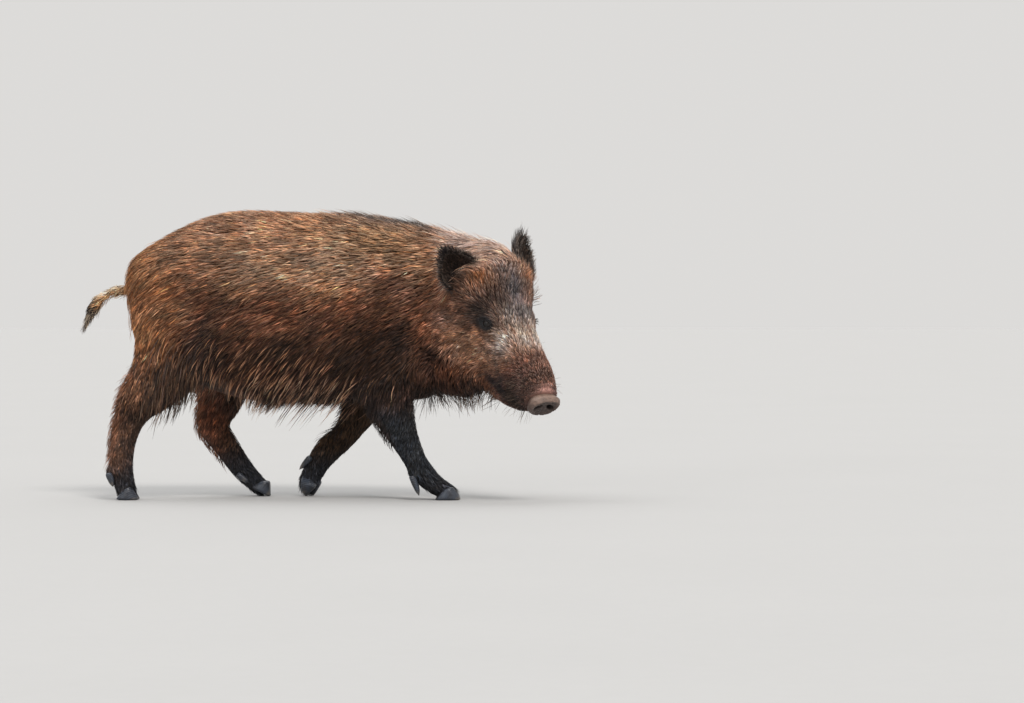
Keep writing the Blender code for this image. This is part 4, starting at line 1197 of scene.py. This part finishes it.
def disc_mesh():
    rows, kinds = [], []
    angle = np.linspace(0, 2 * math.pi, AROUND, endpoint=False)
    cosine, sine = np.cos(angle), np.sin(angle)
    edge_wide = np.sign(cosine) * np.abs(cosine) ** 0.84 * (1 + 0.10 * sine) * DISC_HALF_WIDE
    edge_high = np.sign(sine) * np.abs(sine) ** 0.92 * DISC_HALF_HIGH
    notch = 1 - 0.05 * bell(angle, 1.5 * math.pi, 0.22)
    top = 0.5 + 0.5 * sine
    for t in (i / RINGS for i in range(RINGS + 1)):
        wide, high = edge_wide * t * notch, edge_high * t * notch
        rise = (0.0014 + 0.0022 * top) * bell(t, 0.84, 0.12) - 0.0018 * (1 - t * t)
        rise = rise - 0.0055 * max(t - 0.90, 0) / 0.10
        hollow = nostril(wide, high)
        rise = rise - NOSTRIL_DEEP * hollow + 0.0009 * bell(nostril(wide * 0.9, high * 0.9), 0.5, 0.25)
        rise = rise - 0.0012 * np.exp(-(wide / 0.0016) ** 2) * (high < 0)
        rows.append(np.column_stack([rise, wide, high]))
        kinds.append(np.column_stack([hollow, np.full(AROUND, t), top]))
    for back, shrink in BEHIND_RIM:
        rows.append(np.column_stack([np.full(AROUND, back), edge_wide * shrink, edge_high * shrink]))
        kinds.append(np.column_stack([np.zeros(AROUND), np.full(AROUND, 1.0), top]))
    local = np.vstack(rows)
    rough = noise(local, 0.0017, 8)
    creases = np.abs(noise(local, (0.004, 0.0042, 0.0030), 10))
    local[:, 0] += 0.00030 * rough + 0.0003 * noise(local, 0.006, 9) + 0.0009 * np.minimum(creases * 3, 1)
    local[:, 1:] *= (1 + 0.004 * noise(local, 0.010, 12) + 0.004 * rough)[:, None]
    count = len(rows)
    at = HEAD @ Matrix.Translation(DISC_IN_HEAD)
    points = local @ np.array(at.to_3x3()).T + np.array(at.translation)
    faces = [(i * AROUND + k, i * AROUND + (k + 1) % AROUND, (i + 1) * AROUND + (k + 1) % AROUND,
              (i + 1) * AROUND + k)
             for i in range(count - 1) for k in range(AROUND)]
    faces.append(tuple(range((count - 1) * AROUND, count * AROUND)))
    mesh = bpy.data.meshes.new("disc")
    mesh.from_pydata(points.tolist(), [], faces)
    body = body_of(mesh)
    layer = [body.verts.layers.float.new(name) for name in ("hollow", "out", "top")]
    for vert, values in zip(body.verts, np.vstack(kinds)):
        for one, value in zip(layer, values):
            vert[one] = value
    bmesh.ops.remove_doubles(body, verts=body.verts[:AROUND], dist=1e-5)
    bmesh.ops.recalc_face_normals(body, faces=body.faces)
    return mesh_of(body, "snout_pad")


pad_mesh = disc_mesh()
hollow, out, top = (numbers(pad_mesh.attributes[name].data, "value", 1).astype(float)
                    for name in ("hollow", "out", "top"))
pad_points = numbers(pad_mesh.vertices, "co", 3).astype(float)
creases = np.abs(noise(pad_points, 0.0038, 16))
shown = layered(len(pad_points), (62, 48, 43),
                ((122, 100, 88), ramp(out, 0.62, 0.90) * (0.25 + 0.75 * top)),
                ((54, 43, 41), 0.6 * np.clip(noise(pad_points, 0.010, 14), 0, 1)),
                ((66, 52, 49), (1 - top) * ramp(out, 0.6, 0.9) * 0.8),
                ((50, 38, 35), 0.55 * np.exp(-(creases / 0.07) ** 2)),
                ((150, 124, 108), 0.35 * np.clip(noise(pad_points, 0.0022, 17) - 0.2, 0, 1)),
                ((16, 10, 10), np.clip(hollow * 1.8, 0, 1)))
pad = finished("snout_pad", pad_mesh, shown, finish_of("snout_pad", 1100, 260, 0.55, 0.40, 0.0009, 0.45))
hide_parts("snout_disc")
print("disc of", len(pad_mesh.polygons), "faces")

# %% [markdown]
# ## Hooves
#
# Each hoof fills the frame's shape, which fits the floor and the leg. A fine remesh rounds its edges as
# wear does, and shallow rings run round the wall, one for each spell of growth. Horn is grey to black with
# a blue cast, and scuffed pale at its lower edge; a painted highlight lies on the crests of the rings.

# %% Make the hooves
HORN_GRID = 0.0013
HORN_WEAR = 75            # times the horn's mesh is smoothed
RING_STEP = 0.0036
ANKLE_FROM = 0.6          # share of the low leg's height above which its points count as the ankle
horn_finish = finish_of("horn", 600, 120, 0.45, 0.34, 0.0003, 0.45)


def hoof(node, leg_middle):
    """A claw or dewclaw, as points, faces and colours."""
    rough = mesh_of(welded(node))
    sharp = numbers(rough.vertices, "co", 3).astype(float)
    body = rebuilt(rough, HORN_GRID, HORN_WEAR)
    bmesh.ops.triangulate(body, faces=body.faces)
    horn = Skin(mesh_of(body))
    low, worn_low = sharp.min(axis=0), horn.points.min(axis=0)
    grown = (sharp.max(axis=0) - low) / (horn.points.max(axis=0) - worn_low)
    horn.points[:] = low + (horn.points - worn_low) * grown
    centre = horn.points.mean(axis=0)
    up = unit(leg_middle - centre)
    rise = (horn.points - centre) @ up
    share = (rise - rise.min()) / np.ptp(rise)
    wall = 1 - ramp(np.abs(horn.normals @ up), 0.55, 0.85)
    rings = np.sin(2 * math.pi * rise / RING_STEP + 1.5 * noise(horn.points, 0.012, 21))
    horn.points += horn.normals * (wall * (0.00022 * rings + 0.0003 * noise(horn.points, 0.004, 22)))[:, None]
    horn.points[:, 2] = np.maximum(horn.points[:, 2], 0.0)
    # The horn's own blue-black, with a painted blue-grey highlight on the crests of its growth rings.
    shown = layered(len(horn.points), (45, 52, 63),
                    ((34, 33, 36), np.clip(0.6 + 0.8 * noise(horn.points, 0.008, 23), 0, 1) * 0.8),
                    ((92, 98, 110), 0.5 * ramp(rings, 0.3, 1.0) * wall),
                    ((96, 90, 84),
                     ramp(-share, -0.25, -0.02) * np.clip(0.5 + noise(horn.points, 0.006, 24), 0, 1)),
                    ((24, 22, 23), ramp(share, 0.80, 1.0)))
    return horn.points, horn.triangles, shown


for foot in FEET:
    leg_points = np.array([vert.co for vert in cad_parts[f"leg_{foot}"].data.vertices])
    low_leg = leg_points[leg_points[:, 2] < leg_points[:, 2].min() + 0.085]
    ankle = low_leg[low_leg[:, 2] > np.quantile(low_leg[:, 2], ANKLE_FROM)].mean(axis=0)
    nodes = claws_of(foot)
    points, faces, shown = zip(*(hoof(node, ankle) for node in nodes))
    starts = np.cumsum([0] + [len(own) for own in points])
    mesh = bpy.data.meshes.new(f"hooves_{foot}")
    mesh.from_pydata(np.vstack(points).tolist(), [],
                     np.vstack([own + start for own, start in zip(faces, starts)]).tolist())
    piece = finished(f"hooves_{foot}", mesh, np.vstack(shown), horn_finish)
    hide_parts(*nodes)
    print(piece.name, len(mesh.polygons), "triangles")

# %% [markdown]
# ## Long hair
#
# Over the even coat stand the hairs that give a boar its outline: the fringe that curves off the belly,
# bristles under throat and jaw, feathering behind the legs. They are spikes as well, with more places along
# them, so that they can curve.

# %% Fringe, bristles, feathering
def long_hair(name, mask, cell=0.010, slot="coat", loose=False, segments=4, seed=140, **changes):
    """A piece of longer hair where the mask is, with some of the coat's fields changed."""
    fields = dict(coat)
    for key, value in changes.items():
        value = colour(*value) if key in ("root", "mid", "tip") else value
        fields[key] = np.broadcast_to(np.asarray(value, float), coat[key].shape)
    roots = Roots(skin, fields, mask)
    lines, lock = lines_of(skin, roots, segments, cell, seed, loose)
    widths = roots.take("width") * rng.uniform(0.7, 1.2, len(lines))
    piece = spikes(f"hair_{name}", lines, widths, roots.normals,
                   tuft_colours(roots, lock, segments + 1, seed), unrolled(roots.points, *TRUNK_AXIS))
    print(piece.name, len(lines), "tufts,", len(piece.data.polygons), "triangles")


down, back = -skin.normals[:, 2], -skin.normals[:, 0]      # how much the skin faces down and back
trunk, neck = part["trunk"], part["neck"]
low_flank = trunk * ramp(-z, -0.285, -0.250) * ramp(down, -0.15, 0.35)
long_hair("belly", low_flank * ramp(np.abs(skin.normals[:, 1]), 0.10, 0.45) * (1 - flank_fold),
          density=2.3e4, length=0.060, width=0.00070, sag=0.40, clump=0.90, depth=0.014, lift=0.06,
          cell=0.013, flow=(-0.88, 0, -0.44), root=(20, 15, 13), mid=(56, 36, 28), tip=(255, 198, 162),
          tipped=0.62)
groin = (trunk * spot(-0.275, -0.02, 0.24, 0.045, 0.12, 0.05)
         + hind_leg * spot(-0.275, -0.05, 0.25, 0.05, 0.05, 0.05))
long_hair("groin", np.clip(groin, 0, 1),
          density=3.6e4, length=0.052, width=0.00085, sag=0.34, clump=0.7, lift=0.20, loose=True,
          root=(20, 15, 14), mid=(62, 46, 38), tip=(148, 118, 94), tipped=0.35)
long_hair("flank", trunk * ramp(-upness, -0.42, -0.18) * ramp(upness, 0.10, 0.22) * ramp(-x, -0.08, 0.02),
          density=1.7e4, length=0.056, width=0.00072, sag=0.26, clump=0.74, lift=0.14, cell=0.012,
          flow=(-0.90, 0, -0.40), mid=(70, 43, 32), tip=(240, 176, 134), tipped=0.60)
long_hair("throat", np.maximum(throat, under_jaw) * ramp(down, 0.45, 0.85),
          density=2.6e4, length=0.047, width=0.00060, lift=0.62, sag=0.20, clump=0.5, depth=0.012,
          slot="dark_coat", loose=True, mid=(52, 38, 32), tip=(138, 104, 74), tipped=0.55)
long_hair("hind_legs", hind_leg * ramp(z, 0.070, 0.095) * ramp(-z, -0.285, -0.22) * ramp(back, 0.25, 0.75),
          density=6.5e4, length=0.030, width=0.00070, lift=0.34, clump=0.55, cell=0.008,
          slot="dark_coat", mid=(128, 84, 62), tip=(172, 126, 96), tipped=0.45)
long_hair("forelegs", fore_leg * ramp(z, 0.110, 0.135) * ramp(back, 0.2, 0.7),
          density=4.5e4, length=0.028, width=0.00070, lift=0.36, clump=0.6, cell=0.009,
          slot="dark_coat", mid=(40, 31, 30), tip=(96, 76, 64), tipped=0.25)
long_hair("fetlocks", leg * ramp(z, 0.020, 0.035) * ramp(-z, -0.100, -0.070),
          density=6e4, length=0.019, width=0.00070, lift=0.16, clump=0.6, cell=0.006, slot="dark_coat")
long_hair("coronets", leg * ramp(-hoof_gap, -0.022, -0.008),
          density=2.4e5, length=0.025, width=0.00075, lift=0.10, clump=0.5, cell=0.006,
          slot="dark_coat", loose=True)
long_hair("withers", np.clip(crest + neck * ramp(skin.normals[:, 2], 0.5, 0.8), 0, 1),
          density=1.6e4, length=0.060, width=0.00075, lift=0.20, clump=0.4)
long_hair("rump", trunk * ramp(-x, 0.26, 0.36), density=1.4e4, length=0.050, width=0.0008, lift=0.16,
          sag=0.1, clump=0.5)
long_hair("crown", np.maximum(poll, head * crown * 0.4),
          density=6.5e4, length=0.030, width=0.00050, lift=0.78, clump=0.25, cell=0.007)

# %% [markdown]
# ## Tassel, lashes and whiskers
#
# These are few and each has its own root, so they are laid out one by one: the tassel along the tail's last
# third, lashes along the upper lid, whiskers on the muzzle and chin.

# %% Tassel, lashes and whiskers
TASSEL, LASHES, WHISKERS = int(900 * TUFT_SHARE), 46, 170      # how many bristles each has
TASSEL_FROM = -0.440      # x of the place on the tail where the tassel starts


def bristles(name, starts, ways, lengths, widths, dark, light, bow, segments=5):
    """Single bristles: each runs along its way for its length, and bows towards the bow's direction."""
    count = len(starts)
    t = np.linspace(0, 1, segments + 1)[None, :, None]
    bow = np.tile(bow, (count, 1))
    reach = lengths[:, None, None]
    lines = starts[:, None] + ways[:, None] * (t * reach) + bow[:, None] * (t ** 2 * reach)
    dark, light = colour(*dark), colour(*light)
    shown = dark + (light - dark) * np.broadcast_to(t, (count, segments + 1, 1)) ** 1.5
    ups = unit(np.cross(ways, unit(rng.normal(0, 1, ways.shape))))
    places = np.column_stack([np.linspace(0.02, 0.98, count), 0.1 + 0.8 * rng.random(count)])
    spikes(name, lines, widths, ups, shown, places)
    print(name, count, "bristles")


tail_points = skin.points[(part["tail"] > 0.85) & (x < TASSEL_FROM)]
picked = tail_points[rng.integers(0, len(tail_points), TASSEL)]
ways = unit(np.array([-0.55, 0.06, -0.80]) + rng.normal(0, 0.12, (TASSEL, 3)))
is_pale = rng.random(TASSEL) < 0.30
for kind, chosen, dark, light in (("dark", ~is_pale, (52, 44, 42), (92, 78, 68)),
                                  ("pale", is_pale, (150, 126, 102), (228, 210, 184))):
    own = int(chosen.sum())
    bristles(f"tassel_{kind}", picked[chosen], ways[chosen], 0.011 + 0.020 * rng.random(own) ** 2,
             rng.uniform(0.0004, 0.0007, own), dark, light, [0.05, 0, -0.22])

for side, word in SIDES:
    along, across, look = slit_axes(side)
    spots = np.linspace(-0.92, 0.75, LASHES)
    starts = (eye_at[side] + np.outer(spots * SLIT_HALF_LENGTH, along)
              + np.outer(SLIT_HALF_HEIGHT * (1 - np.abs(spots) ** 1.85) ** 0.54 * 1.03, across))
    starts = eye_at[side] + unit(starts - eye_at[side] + look * 0.0085) * (eye_radius + 0.0012)
    ways = unit(look * 0.62 + across * 0.40 + along * (spots[:, None] * 0.7 + 0.15)
                + rng.normal(0, 0.20, (LASHES, 3)))
    bristles(f"lashes_{word}", starts, ways, rng.uniform(0.005, 0.011, LASHES), np.full(LASHES, 0.00024),
             (20, 15, 15), (60, 48, 44), -0.25 * across)

on_muzzle = (head > 0.9) & (ahead > 0.06) & (ahead < 0.18) & (above < 0.01)
muzzle_points, muzzle_normals = skin.points[on_muzzle], skin.normals[on_muzzle]
picked = rng.integers(0, len(muzzle_points), WHISKERS)
ways = unit(muzzle_normals[picked] * 0.75 - forward * 0.55 + np.array([0, 0, -0.25])
            + rng.normal(0, 0.15, (WHISKERS, 3)))
bristles("whiskers", muzzle_points[picked], ways, rng.uniform(0.014, 0.030, WHISKERS),
         np.full(WHISKERS, 0.00026), (30, 22, 22), (150, 128, 110), [-0.10, 0, -0.20])

# %% [markdown]
# ## Studio
#
# The boar stands on a plain pale floor under two large soft lamps and a pale sky, so that its coat's own
# colours show. A third, weak lamp only puts the highlight in the eye. The camera is near the ground, at the
# height of the animal's eye, some seven and a half metres off its right side, with a long lens.

# %% Floor, light and camera
FLOOR_HALF = 40
SKY_COLOUR, SKY_STRENGTH = (1.0, 0.985, 0.965, 1), 0.72
CAMERA_AT, CAMERA_DOWN = (0.379, -7.617, 0.404), 0.83        # CAMERA_DOWN is in degrees

floor_mesh = bpy.data.meshes.new("floor")
floor_mesh.from_pydata([(a * FLOOR_HALF, b * FLOOR_HALF, 0) for a, b in ((-1, -1), (1, -1), (1, 1), (-1, 1))],
                       [], [(0, 1, 2, 3)])
floor_mesh.materials.append(finish_of("studio_floor", 30, 2, 0.04, 0.9, 0.0001,
                                      plain=(0.372, 0.3685, 0.3650)))
floor = new_piece("floor", floor_mesh)


def lamp(name, source, width, power, tint):
    """A far lamp as wide as this many degrees of the sky."""
    light = bpy.data.lights.new(name, "SUN")
    light.angle = math.radians(width)
    light.energy = power
    light.color = tint
    new_piece(name, light).rotation_euler = Vector(source).to_track_quat("Z", "Y").to_euler()


lamp("key", (0.35, -0.80, 0.95), 18, 2.0, (1.0, 0.97, 0.93))
lamp("top", (-0.25, 0.15, 1.0), 70, 2.1, (0.97, 0.99, 1.0))
lamp("eye_light", (-0.49, -0.82, 0.29), 17, 0.34, (1.0, 1.0, 1.0))
world = bpy.data.worlds.new("studio")
world.use_nodes = True
fill(world.node_tree, world.node_tree.nodes["Background"], {"Color": SKY_COLOUR, "Strength": SKY_STRENGTH})
bpy.context.scene.world = world
bpy.context.scene.view_settings.view_transform = "Standard"

lens = bpy.data.cameras.new("camera")
lens.lens = 135
lens.sensor_width = 36
camera = new_piece("camera", lens)
camera.location = CAMERA_AT
camera.rotation_euler = (math.radians(90 - CAMERA_DOWN), 0, 0)
bpy.context.scene.camera = camera
print("camera", round(camera.location.length, 2), "m from the origin")
